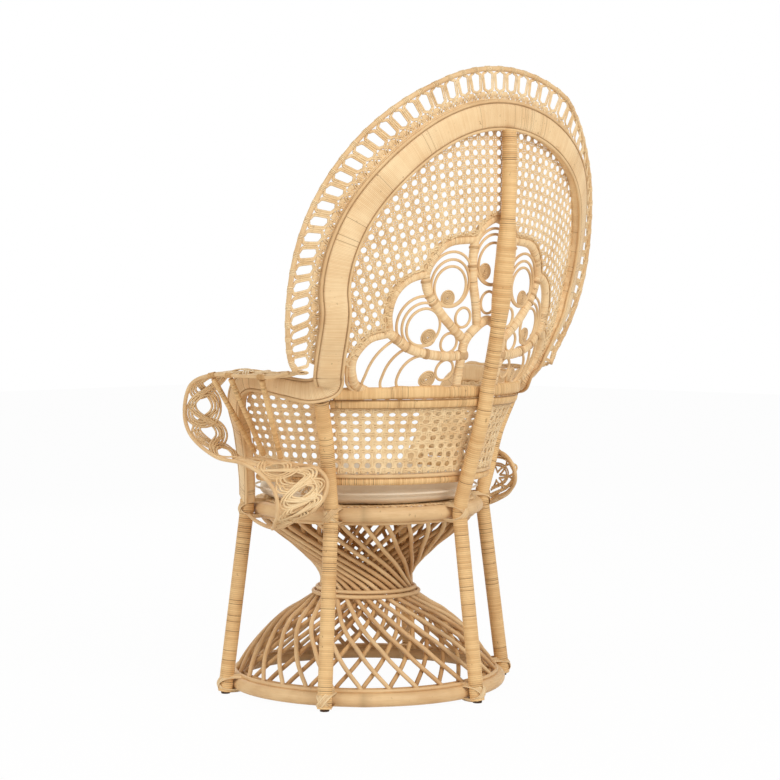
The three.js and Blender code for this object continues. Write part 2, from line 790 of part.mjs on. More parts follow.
// Flat outlines of all the poles, in which the scrolls' ends are bedded
const poleTrack = [...Object.values(medallionLines), lobeDShares, archShares].flatMap((shares) => {
  const places = shares.map(([x, z]) => new THREE.Vector3(x * medallionHalfWidth, overRail(z), 0));
  return smooth(places).getPoints(40);
});

function inPole(x, z) {
  const spot = new THREE.Vector3(Math.abs(x), z, 0);
  const low = railHeight + railWidth / 4;
  return z < low || poleTrack.some((point) => point.distanceTo(spot) < medallionPole * 0.3);
}

function scrollBodies([x, z, coilX, coilZ, degrees, ...radiusShares], mirror) {
  const angle = THREE.MathUtils.degToRad(degrees);
  const meeting = new THREE.Vector2(x * medallionHalfWidth, overRail(z));
  const way = new THREE.Vector2(Math.cos(angle), Math.sin(angle));
  const coil = new THREE.Vector2(coilX * medallionHalfWidth, overRail(coilZ));
  const bodies = [coilBody(coil, mirror)];
  for (const [i, radiusShare] of radiusShares.entries()) {
    const radius = radiusShare * medallionHalfWidth;
    const centre = meeting.clone().addScaledVector(way, radius + (i * scrollRod) / 3);
    const spot = (turn) => {
      const heading = angle + turn;
      return [centre.x + radius * Math.cos(heading), centre.y + radius * Math.sin(heading)];
    };
    const [start, end] = [-1, 1].map((side) => bendReach(spot, side));
    const whole = end - start > wholeBendAngle;
    const steps = whole ? bendSteps : Math.ceil((bendSteps * (end - start)) / (2 * Math.PI));
    const points = Array.from({ length: whole ? steps : steps + 1 }, (_, step) => {
      const [px, pz] = spot(THREE.MathUtils.lerp(start, end, step / steps));
      return onMedallion(mirror * px, pz);
    });
    if (steps > 2) {
      bodies.push(bentRod(points, scrollRod, whole));
    }
  }
  return bodies;
}

// How far a bend turns from its crown before it meets a pole
function bendReach(spot, side) {
  let turn = 0;
  while (Math.abs(turn) < Math.PI && !inPole(...spot(turn))) {
    turn += (side * Math.PI) / 80;
  }
  return turn;
}

// Rod of four sides through points on the back, closed into a ring or left open
function bentRod(points, diameter, closed) {
  const count = points.length;
  const sections = points.map((point, i) => {
    const after = closed ? points[(i + 1) % count] : points[Math.min(i + 1, count - 1)];
    const before = closed ? points[(i + count - 1) % count] : points[Math.max(i - 1, 0)];
    const along = after.clone().sub(before).normalize();
    const depthWay = backFacing(point.x, point.z);
    depthWay.addScaledVector(along, -depthWay.dot(along)).normalize();
    const widthWay = new THREE.Vector3().crossVectors(depthWay, along);
    return roundSection(4).map(([w, d]) => point.clone()
      .addScaledVector(widthWay, w * diameter)
      .addScaledVector(depthWay, d * diameter));
  });
  return loftBody(sections, closed);
}

function coilBody(coil, mirror) {
  const disc = new THREE.CylinderGeometry(coilWidth / 2, coilWidth / 2, coilDepth, 8);
  const place = onMedallion(mirror * coil.x, coil.y);
  const facing = backFacing(place.x, place.z);
  disc.applyQuaternion(new THREE.Quaternion().setFromUnitVectors(new THREE.Vector3(0, 1, 0), facing));
  disc.translate(place.x, place.y, place.z);
  return disc;
}

const railReachShare = 0.98;

function railBody(grow) {
  const points = [];
  const inset = (railDepth - webThickness) / 2 + 4 * clearance;
  for (let step = -6; step <= 6; step += 1) {
    const x = (step / 6) * medallionHalfWidth * railReachShare;
    points.push(onBack(x, railHeight).add(new THREE.Vector3(0, -inset, 0)));
  }
  return sweptBody(smooth(points), 10, bandSection, () => [railWidth + grow, railDepth + grow],
    (share, centre) => backFacing(centre.x, centre.z));
}

function addMedallion() {
  const bodies = medallionRods();
  for (const row of scrollShares) {
    bodies.push(...scrollBodies(row, 1));
    if (row[0] > 0) {
      bodies.push(...scrollBodies(row, -1));
    }
  }
  const arm = rimBody(seamShare + seamGap, 1, armSteps, slack);
  const rims = [backRimBody(slack), arm, flipped(arm)];
  addPiece('back_rail', cutBy(railBody(0), rims), wrapCane);
  addPiece('medallion', cutBy(joined(bodies), [railBody(slack), ...rims]), wrapCane);
}

// Open cane webbing between the rim and the medallion
const medallionOutline = (() => {
  const side = (mirror) => ['lobeA', 'lobeB', 'lobeC'].map((key) =>
    smooth(medallionLines[key].map((share) => medallionPlace(share, mirror))).getPoints(10));
  const right = side(1).flatMap((points, i) => points.slice(i === 0 ? 0 : 1));
  const left = mirrored(right);
  const top = smooth(lobeDShares.map((share) => medallionPlace(share))).getPoints(8).slice(1, -1);
  return new THREE.CatmullRomCurve3([...left, ...top, ...right.reverse()], false, 'chordal');
})();

const webbingColumns = 18;
const webbingRows = 4;
const webbingEndShare = 0.1;

function addWebbing() {
  const low = 1 - armStart - 0.2 / rimSpans;
  const webbing = piercedSheet({
    columns: webbingColumns,
    rows: webbingRows,
    holes: [diamondShares],
    thickness: webThickness,
    place: (u, v) => {
      const near = medallionOutline.getPointAt(THREE.MathUtils.lerp(webbingEndShare, 1 - webbingEndShare, u));
      const share = THREE.MathUtils.lerp(low, 1 - low, u);
      const edge = rimEdge(share, -rimWidth / 2 - 3 * clearance);
      const far = edge.addScaledVector(rimFacing(share, edge), -rimSet);
      const x = THREE.MathUtils.lerp(near.x, far.x, v);
      const z = THREE.MathUtils.lerp(near.z, far.z, v);
      return onBack(x, z);
    },
  });
  addPiece('back_webbing', webbing, splitCane, 0.7);
}

// Basket: webbing on a flared wall from one front post round the back to the other.
// Its upper edge follows the rail and the arm rim, its ends follow the front posts.
const basketColumns = 17;
const basketRows = 3;
const trackSteps = 80;
const armTrack = Array.from({ length: trackSteps + 1 }, (_, i) => {
  const share = THREE.MathUtils.lerp(seamShare, 1, i / trackSteps);
  const point = rimCurve.getPoint(share);
  const angle = Math.atan2(point.x, point.y);
  return { angle, radius: Math.hypot(point.x, point.y), height: point.z, share };
});

function nearest(list, key, value) {
  return list.reduce((best, row) => (Math.abs(row[key] - value) < Math.abs(best[key] - value) ? row : best));
}

function basketUpper(angle) {
  const turn = Math.abs(angle);
  const underRail = railHeight - railWidth / 2 - 3 * clearance;
  const rows = armTrack.filter((row) => row.height > railHeight - railWidth);
  const rim = nearest(rows, 'angle', turn);
  const underRim = rim.height - rimWidthAt(rim.share) / 2 - 3 * clearance;
  return turn < rows[0].angle ? underRail : Math.max(underRail, underRim);
}

function postAngle(height) {
  const rows = armTrack.filter((row) => row.angle > Math.PI / 2);
  const post = nearest(rows, 'height', height);
  return post.angle - (armRimWidth / 2 + 6 * clearance) / post.radius;
}

function addBasket() {
  const webbing = piercedSheet({
    columns: basketColumns,
    rows: basketRows,
    holes: [diamondShares],
    thickness: webThickness,
    place: (u, v) => {
      const guess = THREE.MathUtils.lerp(basketBottom, railHeight, v);
      const angle = postAngle(guess) * (2 * u - 1);
      const height = THREE.MathUtils.lerp(basketBottom, basketUpper(angle), v);
      return around(angle, basketRadius(height), height);
    },
  });
  const arm = rimBody(seamShare, 1, armSteps, slack);
  addPiece('basket_webbing', cutBy(webbing, [arm, flipped(arm), railBody(slack)]), splitCane, 0.7);
  const rodHeight = basketBottom - hoopRod * ringFlatShare - clearance;
  const hoopHeight = rodHeight - (hoopRod + hoopRail) * ringFlatShare - clearance;
  addPiece('basket_rod', basketHoop(hoopRod, rodHeight), poleCane);
  addPiece('basket_hoop', basketHoop(hoopRail, hoopHeight), wrapCane);
}

function basketHoop(diameter, height) {
  const points = [];
  const steps = 20;
  const radius = basketRadius(height) + (webThickness - diameter) / 2;
  for (let step = -steps; step <= steps; step += 2) {
    points.push(around((postAngle(height) * step) / steps, radius, height));
  }
  const outside = (share, centre) => new THREE.Vector3(centre.x, centre.y, 0).normalize();
  return sweptBody(smooth(points), steps, roundSection(ringSides), () => [diameter, diameter], outside);
}

// Arm ruffle: a pierced ribbon between an inner line and an outer rod, which bends like an S.
// It lies flat on the arm, turns down in front, runs back under the arm and curls under at the seat.
const rimTopShare = (armHeight + (armRimWidth + laceThickness) / 2 + 2 * clearance) / armHeight;
const ruffleInnerShares = [
  [1.075, 0.9, 1.036], [1.05, 0.7, 1.03], [1.03, 0.45, rimTopShare], [1.02, 0.19, rimTopShare],
  [1.058, -0.1, rimTopShare],
  [1.05, -0.33, 0.985], [0.985, -0.42, 0.9], [0.93, -0.43, 0.82], [0.925, -0.3, 0.77], [0.905, 0.05, 0.756],
  [0.88, 0.38, 0.748], [0.866, 0.652, 0.738], [0.868, 0.773, 0.702], [0.898, 0.769, 0.653],
  [0.925, 0.664, 0.614], [0.925, 0.45, 0.582], [0.915, 0.28, 0.558],
];
const ruffleOuterShares = [
  [0.985, 0.8, 1.035], [0.991, 0.607, 1.021], [1, 0.36, 1.021], [1, 0.12, 1.021], [0.995, -0.2, 1.02],
  [0.984, -0.51, 0.985], [0.98, -0.6, 0.9], [0.976, -0.53, 0.835], [0.965, -0.2, 0.77], [0.947, 0.1, 0.756],
  [0.923, 0.255, 0.735], [0.912, 0.453, 0.686], [0.905, 0.5, 0.645], [0.885, 0.46, 0.6],
  [0.855, 0.37, 0.575], [0.81, 0.27, 0.557], [0.785, 0.2, 0.55],
];

function rufflePlace([x, y, z], halfWidth) {
  return new THREE.Vector3(x * halfWidth, y * armReach, z * armHeight);
}

const ruffleInner = smooth(ruffleInnerShares.map((row) => rufflePlace(row, armHalfWidth)));
const ruffleOuter = smooth(ruffleOuterShares.map((row) => rufflePlace(row, ruffleHalfWidth)));

// Three slanting struts a side carry the ruffle: rows are the top on the outer rod and the foot
const strutShares = [
  [[0.998, -0.17, 1.014], [0.915, -0.1, 0.774]],
  [[0.996, 0.06, 1.015], [0.9, 0, 0.767]],
  [[0.994, 0.47, 1.015], [0.888, 0.2, 0.76]],
];

function addRuffle() {
  const rimGap = 2 * clearance;
  const rodGap = armRod / 2 + 14 * clearance;
  const scrollGap = armRod / 2 + 24 * clearance;
  const lace = piercedSheet({
    columns: ruffleBays,
    rows: 1,
    holes: ruffleBayShares,
    thickness: laceThickness,
    place: (u, v) => {
      const share = THREE.MathUtils.clamp(u, 0, 1) * 0.97;
      const inner = ruffleInner.getPoint(share);
      const outer = ruffleOuter.getPoint(share);
      const width = inner.distanceTo(outer);
      const underArm = THREE.MathUtils.smoothstep(share, 0.3, 0.5);
      const innerGap = THREE.MathUtils.lerp(rimGap, scrollGap, underArm);
      return inner.lerp(outer, THREE.MathUtils.lerp(innerGap, width - rodGap, v) / width);
    },
  });
  const scrollPoints = ruffleInner.getPoints(64).slice(34);
  const tailShares = [[0.86, 0.02, 0.545], [0.8, -0.28, 0.556], [0.775, -0.42, 0.572]];
  const scrollCurve = smooth([...scrollPoints, ...tailShares.map(armPlace)]);
  const rods = (grow) => [
    rodBody(ruffleOuter, armRod + grow, 28, 5),
    rodBody(scrollCurve, armRod + grow, 18, 5),
  ];
  const [outerRod, scrollRodBody] = rods(0);
  const pieces = {
    arm_outer_rod: [outerRod, poleCane],
    arm_scroll_rod: [scrollRodBody, poleCane],
    arm_lace: [cutBy(lace, [rimBody(seamShare, 1, armSteps, slack)]), splitCane],
  };
  strutShares.forEach(([top, foot], i) => {
    const ends = [rufflePlace(top, ruffleHalfWidth), rufflePlace(foot, armHalfWidth)];
    const strut = rodBody(new THREE.LineCurve3(...ends), strutPole, 1, 6);
    pieces[`arm_strut_${i + 1}`] = [cutBy(strut, rods(slack)), wrapCane];
  });
  for (const [name, [body, color]] of Object.entries(pieces)) {
    addPiece(`${name}_left`, body, color);
    addPiece(`${name}_right`, flipped(body), color);
  }
}

addLegs();
addSpine();
addPedestal();
addSeat();
addRims();
addBorder();
addMedallion();
addWebbing();
addBasket();
addRuffle();

// The origin is on the floor under the middle of the whole outline
const outline = new THREE.Box3().setFromObject(chair);
chair.position.y = -(outline.min.y + outline.max.y) / 2;

export default chair;
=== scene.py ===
import math
import random

import bpy
import numpy as np
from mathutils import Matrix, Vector


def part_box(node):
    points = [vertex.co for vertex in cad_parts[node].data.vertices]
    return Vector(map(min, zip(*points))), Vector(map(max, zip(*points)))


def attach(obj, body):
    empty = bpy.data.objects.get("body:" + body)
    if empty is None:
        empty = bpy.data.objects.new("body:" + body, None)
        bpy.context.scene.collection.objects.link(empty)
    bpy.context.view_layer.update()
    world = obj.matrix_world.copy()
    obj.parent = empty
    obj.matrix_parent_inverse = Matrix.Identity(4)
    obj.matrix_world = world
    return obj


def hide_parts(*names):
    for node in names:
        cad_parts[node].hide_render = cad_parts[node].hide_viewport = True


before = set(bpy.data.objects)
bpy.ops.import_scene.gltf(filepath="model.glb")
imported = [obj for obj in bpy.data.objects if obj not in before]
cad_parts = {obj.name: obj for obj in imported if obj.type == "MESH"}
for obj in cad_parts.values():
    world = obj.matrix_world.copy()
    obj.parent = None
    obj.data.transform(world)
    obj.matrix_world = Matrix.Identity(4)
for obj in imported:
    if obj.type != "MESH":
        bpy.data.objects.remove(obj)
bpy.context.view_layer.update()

# Camera: it stands behind the chair, on the sitter's left, a little above the height of the arms.
# The place and lens come from the round rings of the base and the seat as the photograph shows them.
mm = 0.001
axis_y = -64.300 * mm
camera_data = bpy.data.cameras.new("camera")
camera_data.sensor_width = 36
camera_data.lens = 93.65
camera = bpy.data.objects.new("camera", camera_data)
bpy.context.scene.collection.objects.link(camera)
bpy.context.scene.camera = camera
camera_turn = math.radians(46.85)
camera_dip = math.radians(2.46)
camera.location = (3.5176, 3.3126, 0.919)
camera_sight = Vector((
    -math.sin(camera_turn) * math.cos(camera_dip),
    -math.cos(camera_turn) * math.cos(camera_dip),
    -math.sin(camera_dip),
))
camera.rotation_euler = camera_sight.to_track_quat("-Z", "Y").to_euler()
bpy.context.scene.view_settings.view_transform = "Standard"


# Studio: a plain pale floor that keeps the chair's shadow, a soft key lamp from the upper left of the
# photograph, a weaker lamp from the right and even light all round.
def linear(red, green, blue):
    """A colour as seen on a screen, from 0 to 255, as the numbers that a shader takes."""
    return [((c / 255 + 0.055) / 1.055) ** 2.4 for c in (red, green, blue)] + [1.0]


def reckon(tree, operation, *terms):
    """A sum in a shader: each term is a number or the socket that gives one."""
    node = tree.nodes.new("ShaderNodeMath")
    node.operation = operation
    for socket, term in zip(node.inputs, terms):
        if isinstance(term, (int, float)):
            socket.default_value = term
        else:
            tree.links.new(term, socket)
    return node.outputs[0]


def mix_by_sight(tree, unseen, seen, output, most=1.0):
    """Shows seen where the camera looks at the surface, or sees it in gloss or through something
    clear, and unseen to every other ray."""
    path = tree.nodes.new("ShaderNodeLightPath")
    share = path.outputs["Is Camera Ray"]
    for kind in ("Is Glossy Ray", "Is Transmission Ray"):
        share = reckon(tree, "MAXIMUM", share, path.outputs[kind])
    both = tree.nodes.new("ShaderNodeMixShader")
    tree.links.new(reckon(tree, "MULTIPLY", share, most), both.inputs["Fac"])
    tree.links.new(unseen, both.inputs[1])
    tree.links.new(seen, both.inputs[2])
    tree.links.new(both.outputs["Shader"], tree.nodes[output].inputs["Surface"])


floor_reach = 14
floor_glow_share = 0.965
around_strength = 0.42
lamp_aim = Vector((0, 0, 0.75))
# rows: name, place, size in metres, power in watts
lamp_rows = (
    ("key_lamp", (0.6, 4.2, 3.4), 2.4, 124),
    ("side_lamp", (4.2, -0.6, 2.2), 2.6, 58),
    ("front_lamp", (-1.8, -3.4, 2.6), 3.0, 36),
)


def light_the_studio():
    floor_material = bpy.data.materials.new("studio_floor")
    floor_material.use_nodes = True
    tree = floor_material.node_tree
    matt = tree.nodes["Principled BSDF"]
    matt.inputs["Base Color"].default_value = linear(246, 244, 241)
    matt.inputs["Roughness"].default_value = 0.9
    glow = tree.nodes.new("ShaderNodeEmission")
    glow.inputs["Strength"].default_value = 1.0
    mix_by_sight(tree, matt.outputs["BSDF"], glow.outputs["Emission"], "Material Output", floor_glow_share)
    floor_mesh = bpy.data.meshes.new("studio_floor")
    corners = [(x * floor_reach, y * floor_reach, 0) for x, y in ((-1, -1), (1, -1), (1, 1), (-1, 1))]
    floor_mesh.from_pydata(corners, [], [(0, 1, 2, 3)])
    floor_mesh.materials.append(floor_material)
    floor = bpy.data.objects.new("studio_floor", floor_mesh)
    bpy.context.scene.collection.objects.link(floor)

    world = bpy.data.worlds.new("studio")
    bpy.context.scene.world = world
    world.use_nodes = True
    tree = world.node_tree
    soft, white = tree.nodes["Background"], tree.nodes.new("ShaderNodeBackground")
    for light, strength in ((soft, around_strength), (white, 1.0)):
        light.inputs["Color"].default_value = (1, 1, 1, 1)
        light.inputs["Strength"].default_value = strength
    mix_by_sight(tree, soft.outputs["Background"], white.outputs["Background"], "World Output")

    for name, place, size, power in lamp_rows:
        lamp_data = bpy.data.lights.new(name, "AREA")
        lamp_data.size = size
        lamp_data.energy = power
        lamp = bpy.data.objects.new(name, lamp_data)
        lamp.location = place
        lamp.rotation_euler = (lamp_aim - Vector(place)).to_track_quat("-Z", "Y").to_euler()
        bpy.context.scene.collection.objects.link(lamp)


light_the_studio()


# Base ring and seat ring: each is one peeled rattan pole, steamed and bent to a circle.
# The skin is left smooth, with the faint swellings of the joints that the cane had as it grew.
base_ring_radius = 320 * mm
base_pole = 31 * mm
base_ring_height = 20.8 * mm
seat_ring_radius = 265 * mm
seat_pole = 34 * mm
seat_ring_height = 435.5 * mm


def noise(tree, where, scale, detail, roughness=0.5):
    """Cloudy grain read at a place, as a number from 0 to 1."""
    node = tree.nodes.new("ShaderNodeTexNoise")
    node.inputs["Scale"].default_value = scale
    node.inputs["Detail"].default_value = detail
    node.inputs["Roughness"].default_value = roughness
    tree.links.new(where, node.inputs["Vector"])
    return node.outputs["Fac"]


def ramp(tree, level, first, last, start=0.0, end=1.0):
    """A colour that runs from first to last as the level grows from start to end."""
    node = tree.nodes.new("ShaderNodeValToRGB")
    for stop, place, colour in zip(node.color_ramp.elements, (start, end), (first, last)):
        stop.position = place
        stop.color = colour
    tree.links.new(level, node.inputs["Fac"])
    return node.outputs["Color"]


def tinted(tree, colour, share, tint):
    """The colour, with the given share of a tint over it."""
    node = tree.nodes.new("ShaderNodeMixRGB")
    node.inputs["Color2"].default_value = tint
    tree.links.new(share, node.inputs["Fac"])
    tree.links.new(colour, node.inputs["Color1"])
    return node.outputs["Color"]


def stretched(tree, level, low, high, to_low, to_high):
    """The level, stretched so that low to high becomes to_low to to_high, and held within it."""
    node = tree.nodes.new("ShaderNodeMapRange")
    for socket, value in (("From Min", low), ("From Max", high), ("To Min", to_low), ("To Max", to_high)):
        node.inputs[socket].default_value = value
    tree.links.new(level, node.inputs["Value"])
    return node.outputs["Result"]


def grain(tree, shader, height, strength, distance):
    """Fine relief on a shader, from a level."""
    bump = tree.nodes.new("ShaderNodeBump")
    bump.inputs["Strength"].default_value = strength
    bump.inputs["Distance"].default_value = distance
    tree.links.new(height, bump.inputs["Height"])
    tree.links.new(bump.outputs["Normal"], shader.inputs["Normal"])


def cane_finish(name, pale, deep, fibre, gloss, streak=0.55, fleck=0.35, seam_shade=0.55, relief=0.25):
    """Cane: long fibres, a tint that varies from strand to strand, dark flecks, painted shade in the seams.
    fibre holds how finely the fibres lie across and along the cane."""
    material = bpy.data.materials.new(name)
    material.use_nodes = True
    tree = material.node_tree
    shader = tree.nodes["Principled BSDF"]
    shader.inputs["IOR"].default_value = 1.45
    shader.inputs["Specular IOR Level"].default_value = gloss

    lie = tree.nodes.new("ShaderNodeUVMap")
    lie.uv_map = "lie"
    stretch = tree.nodes.new("ShaderNodeMapping")
    stretch.inputs["Scale"].default_value = (fibre[0], fibre[1], 1)
    tree.links.new(lie.outputs["UV"], stretch.inputs["Vector"])
    fibres = noise(tree, stretch.outputs["Vector"], 1.0, 4, 0.6)
    place = tree.nodes.new("ShaderNodeTexCoord").outputs["Object"]
    marks = {}
    for key in ("strand", "seam"):
        mark = tree.nodes.new("ShaderNodeAttribute")
        mark.attribute_name = key
        marks[key] = mark.outputs["Fac"]

    calm = reckon(tree, "MULTIPLY_ADD", noise(tree, place, 14, 3), 0.9, -0.45 - 0.5 * streak)
    tint = reckon(tree, "MULTIPLY_ADD", marks["strand"], 0.45, calm)
    colour = ramp(tree, reckon(tree, "MULTIPLY_ADD", fibres, streak, tint), pale, deep, end=0.75)
    flecks = stretched(tree, noise(tree, place, 95, 2), 0.69, 0.76, 0.0, fleck)
    colour = tinted(tree, colour, flecks, linear(120, 78, 38))
    # Painted shade: the seam mark tints the colour towards dark brown in grooves between turns, at crossings
    # and under ties, where shade falls; on the ring poles the same mark stands for the cane's own dark
    # joints.
    shade = reckon(tree, "MULTIPLY", marks["seam"], seam_shade)
    colour = tinted(tree, colour, shade, linear(112, 70, 30))
    tree.links.new(colour, shader.inputs["Base Color"])
    tree.links.new(stretched(tree, fibres, 0.0, 1.0, 0.42, 0.68), shader.inputs["Roughness"])
    grain(tree, shader, fibres, relief, 0.5 * mm)
    return material


def circle(points):
    """Evenly spaced turns round a circle."""
    return np.linspace(0, 2 * math.pi, points, endpoint=False)


def round_section(sides):
    """Outline of a round cane, one unit across."""
    turns = circle(sides) + math.pi / sides
    return 0.5 * np.stack([np.cos(turns), np.sin(turns)], 1)


def new_stock():
    """An empty bundle, on which strands are laid one after another to make one piece."""
    return {"points": [], "quads": [], "ends": [], "lie": [], "strand": [], "seam": [], "count": 0}


def unit(rows):
    """Directions of length one."""
    return rows / np.maximum(np.linalg.norm(rows, axis=-1, keepdims=True), 1e-12)


def lay(stock, centres, outward, width, depth, section, closed=False, strand=0.0, seam=0.0, along=None):
    """Lays one strand: its section follows the centres, its depth is turned to outward."""
    centres = np.asarray(centres, float)
    count = len(centres)
    if along is None:
        if closed:
            along = np.roll(centres, -1, 0) - np.roll(centres, 1, 0)
        else:
            along = np.gradient(centres, axis=0)
    along = unit(np.asarray(along, float))
    out = np.array(np.broadcast_to(np.asarray(outward, float), centres.shape))
    out = unit(out - (out * along).sum(1, keepdims=True) * along)
    side = np.cross(out, along)
    width = np.broadcast_to(width, (count,))[:, None]
    depth = np.broadcast_to(depth, (count,))[:, None]
    outline = np.asarray(section, float)
    sides = len(outline)
    spread = (outline[None, :, 0] * width)[:, :, None] * side[:, None, :]
    rise = (outline[None, :, 1] * depth)[:, :, None] * out[:, None, :]
    points = centres[:, None, :] + spread + rise
    first = stock["count"]
    rows = count if closed else count - 1
    i = np.arange(rows)[:, None]
    j = np.arange(sides)[None, :]
    here, there = first + i * sides, first + ((i + 1) % count) * sides
    nxt = (j + 1) % sides
    stock["quads"].append(np.stack([here + j, here + nxt, there + nxt, there + j], -1).reshape(-1, 4))
    girth = math.pi * float(width.mean() + depth.mean()) / 2
    run = np.concatenate([[0], np.cumsum(np.linalg.norm(np.diff(centres, axis=0), axis=1))])
    if closed:
        run = np.append(run, run[-1] + np.linalg.norm(centres[0] - centres[-1]))
    shift = random.random() * 3
    ua, ub = j / sides * girth + shift, (j + 1) / sides * girth + shift
    va, vb = run[:rows][:, None] + shift, run[1:rows + 1][:, None] + shift
    full = np.ones((rows, sides))
    stock["lie"].append(np.stack([np.stack([u * full, v * full], -1) for u, v in
                                  ((ua, va), (ub, va), (ub, vb), (ua, vb))], 2).reshape(-1, 2))
    if not closed:
        stock["ends"].append(list(range(first + sides - 1, first - 1, -1)))
        last = first + (count - 1) * sides
        stock["ends"].append(list(range(last, last + sides)))
    stock["points"].append(points.reshape(-1, 3))
    stock["strand"].append(np.repeat(np.broadcast_to(strand, (count,)), sides))
    stock["seam"].append(np.repeat(np.broadcast_to(seam, (count,)), sides))
    stock["count"] += count * sides


def lay_round(stock, centres, outward, thick, sides, **more):
    """Lays one round cane or rod."""
    lay(stock, centres, outward, thick, thick, round_section(sides), **more)


def make_piece(name, stock, finish, nodes=(), body="chair"):
    """Turns a bundle of strands into one smooth-shaded piece that rides on its body."""
    points = np.concatenate(stock["points"])
    quads = np.concatenate(stock["quads"])
    ends = stock["ends"]
    corners = np.concatenate([quads.ravel()] + [np.array(end) for end in ends])
    sizes = np.array([4] * len(quads) + [len(end) for end in ends])
    lie = np.concatenate(stock["lie"] + [np.zeros((sum(len(end) for end in ends), 2))])
    mesh = bpy.data.meshes.new(name)
    mesh.vertices.add(len(points))
    mesh.vertices.foreach_set("co", points.astype(np.float32).ravel())
    mesh.loops.add(len(corners))
    mesh.loops.foreach_set("vertex_index", corners.astype(np.int32))
    mesh.polygons.add(len(sizes))
    mesh.polygons.foreach_set("loop_start", (np.cumsum(sizes) - sizes).astype(np.int32))
    mesh.update(calc_edges=True)
    mesh.validate()
    mesh.uv_layers.new(name="lie").data.foreach_set("uv", lie.astype(np.float32).ravel())
    for key in ("strand", "seam"):
        mesh.attributes.new(key, "FLOAT", "POINT").data.foreach_set(
            "value", np.concatenate(stock[key]).astype(np.float32))
    mesh.polygons.foreach_set("use_smooth", np.ones(len(sizes), bool))
    mesh.materials.append(finish)
    piece = bpy.data.objects.new(name, mesh)
    bpy.context.scene.collection.objects.link(piece)
    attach(piece, body)
    if nodes:
        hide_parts(*nodes)


def around(turn, radius, height):
    """Places by their turn from the rear about the pedestal's axis, towards the sitter's left."""
    return np.stack(np.broadcast_arrays(radius * np.sin(turn), radius * np.cos(turn) + axis_y, height), -1)


def out_from_axis(rows):
    """The level way from the pedestal's axis to each place."""
    return (rows - [0, axis_y, 0]) * [1, 1, 0]


def lay_hoop(stock, radius, height, thick, points, sides, **more):
    """Lays a round cane as a level circle about the axis."""
    rows = around(circle(points), radius, height)
    lay_round(stock, rows, out_from_axis(rows), thick, sides, closed=True, **more)


random.seed(7)
peeled_cane = cane_finish("peeled_cane", linear(232, 197, 147), linear(192, 143, 90), (260, 26), 0.5,
                          streak=0.5, seam_shade=0.35, relief=0.12)
ring_steps = 160
ring_joint_shares = (0.13, 0.37, 0.55, 0.81)


def ring_of_pole(node, radius, pole, height):
    swell = np.ones(ring_steps)
    mark = np.zeros(ring_steps)
    for joint in ring_joint_shares:
        off = np.abs((np.arange(ring_steps) / ring_steps - joint + 0.5) % 1 - 0.5) * ring_steps
        swell += 0.035 * np.exp(-(off / 1.6) ** 2)
        mark = np.maximum(mark, 0.9 * np.exp(-(off / 0.8) ** 2))
    stock = new_stock()
    lay_hoop(stock, radius, height, pole * swell, ring_steps, 24, strand=0.35, seam=mark)
    make_piece(node + "_pole", stock, peeled_cane, [node])


ring_of_pole("base_ring", base_ring_radius, base_pole, base_ring_height)
ring_of_pole("seat_ring", seat_ring_radius, seat_pole, seat_ring_height)


# Legs: five poles wrapped from end to end in split cane, lashed outside both rings.
# The two side legs run on up beside the basket to the arms, the front ones end under the arm's post.
leg_pole = 34 * mm
leg_wrap = 4.6 * mm
foot_top = 5.3 * mm
leg_turns = {"rear_left": 61.5, "rear_right": -61.5, "front_left": 115.5, "front_right": -115.5}
bound_cane = cane_finish("bound_cane", linear(240, 200, 142), linear(197, 142, 82), (30, 420), 0.42,
                         streak=0.42, fleck=0.5, seam_shade=0.7, relief=0.15)


def table(shares, height, size, steps=12):
    """A smooth run through rows of height share and value share, as numbers to look up by height."""
    rows = smooth_line([(h * height, s * size) for h, s in shares], steps * len(shares) + 1)
    return lambda z: np.interp(z, rows[:, 0], rows[:, 1])


def smooth_line(points, count, power=0.25, start=0.0, end=1.0):
    """Points on the bent line that passes through the given places, evenly spread over its spans."""
    points = np.asarray(points, float)
    spans = len(points) - 1
    share = np.linspace(start, end, count) * spans
    low = np.clip(np.floor(share).astype(int), 0, spans - 1)
    t = (share - low)[:, None]
    grown = np.vstack([2 * points[0] - points[1], points, 2 * points[-1] - points[-2]])
    p0, p1, p2, p3 = grown[low], grown[low + 1], grown[low + 2], grown[low + 3]
    gap = [np.maximum(((b - a) ** 2).sum(1, keepdims=True) ** power, 1e-9)
           for a, b in ((p0, p1), (p1, p2), (p2, p3))]
    m1 = ((p1 - p0) / gap[0] - (p2 - p0) / (gap[0] + gap[1]) + (p2 - p1) / gap[1]) * gap[1]
    m2 = ((p2 - p1) / gap[1] - (p3 - p1) / (gap[1] + gap[2]) + (p3 - p2) / gap[2]) * gap[1]
    return p1 + m1 * t + (3 * p2 - 3 * p1 - 2 * m1 - m2) * t ** 2 + (2 * p1 - 2 * p2 + m1 + m2) * t ** 3


def look_up(at, run, rows):
    """Reads rows of numbers off a line, at places along its run."""
    return np.stack([np.interp(at, run, rows[:, k]) for k in range(rows.shape[1])], 1)


loose_and_shaded_gap_run = 41 * mm
loose_and_shaded_gap_drift = 90 * mm


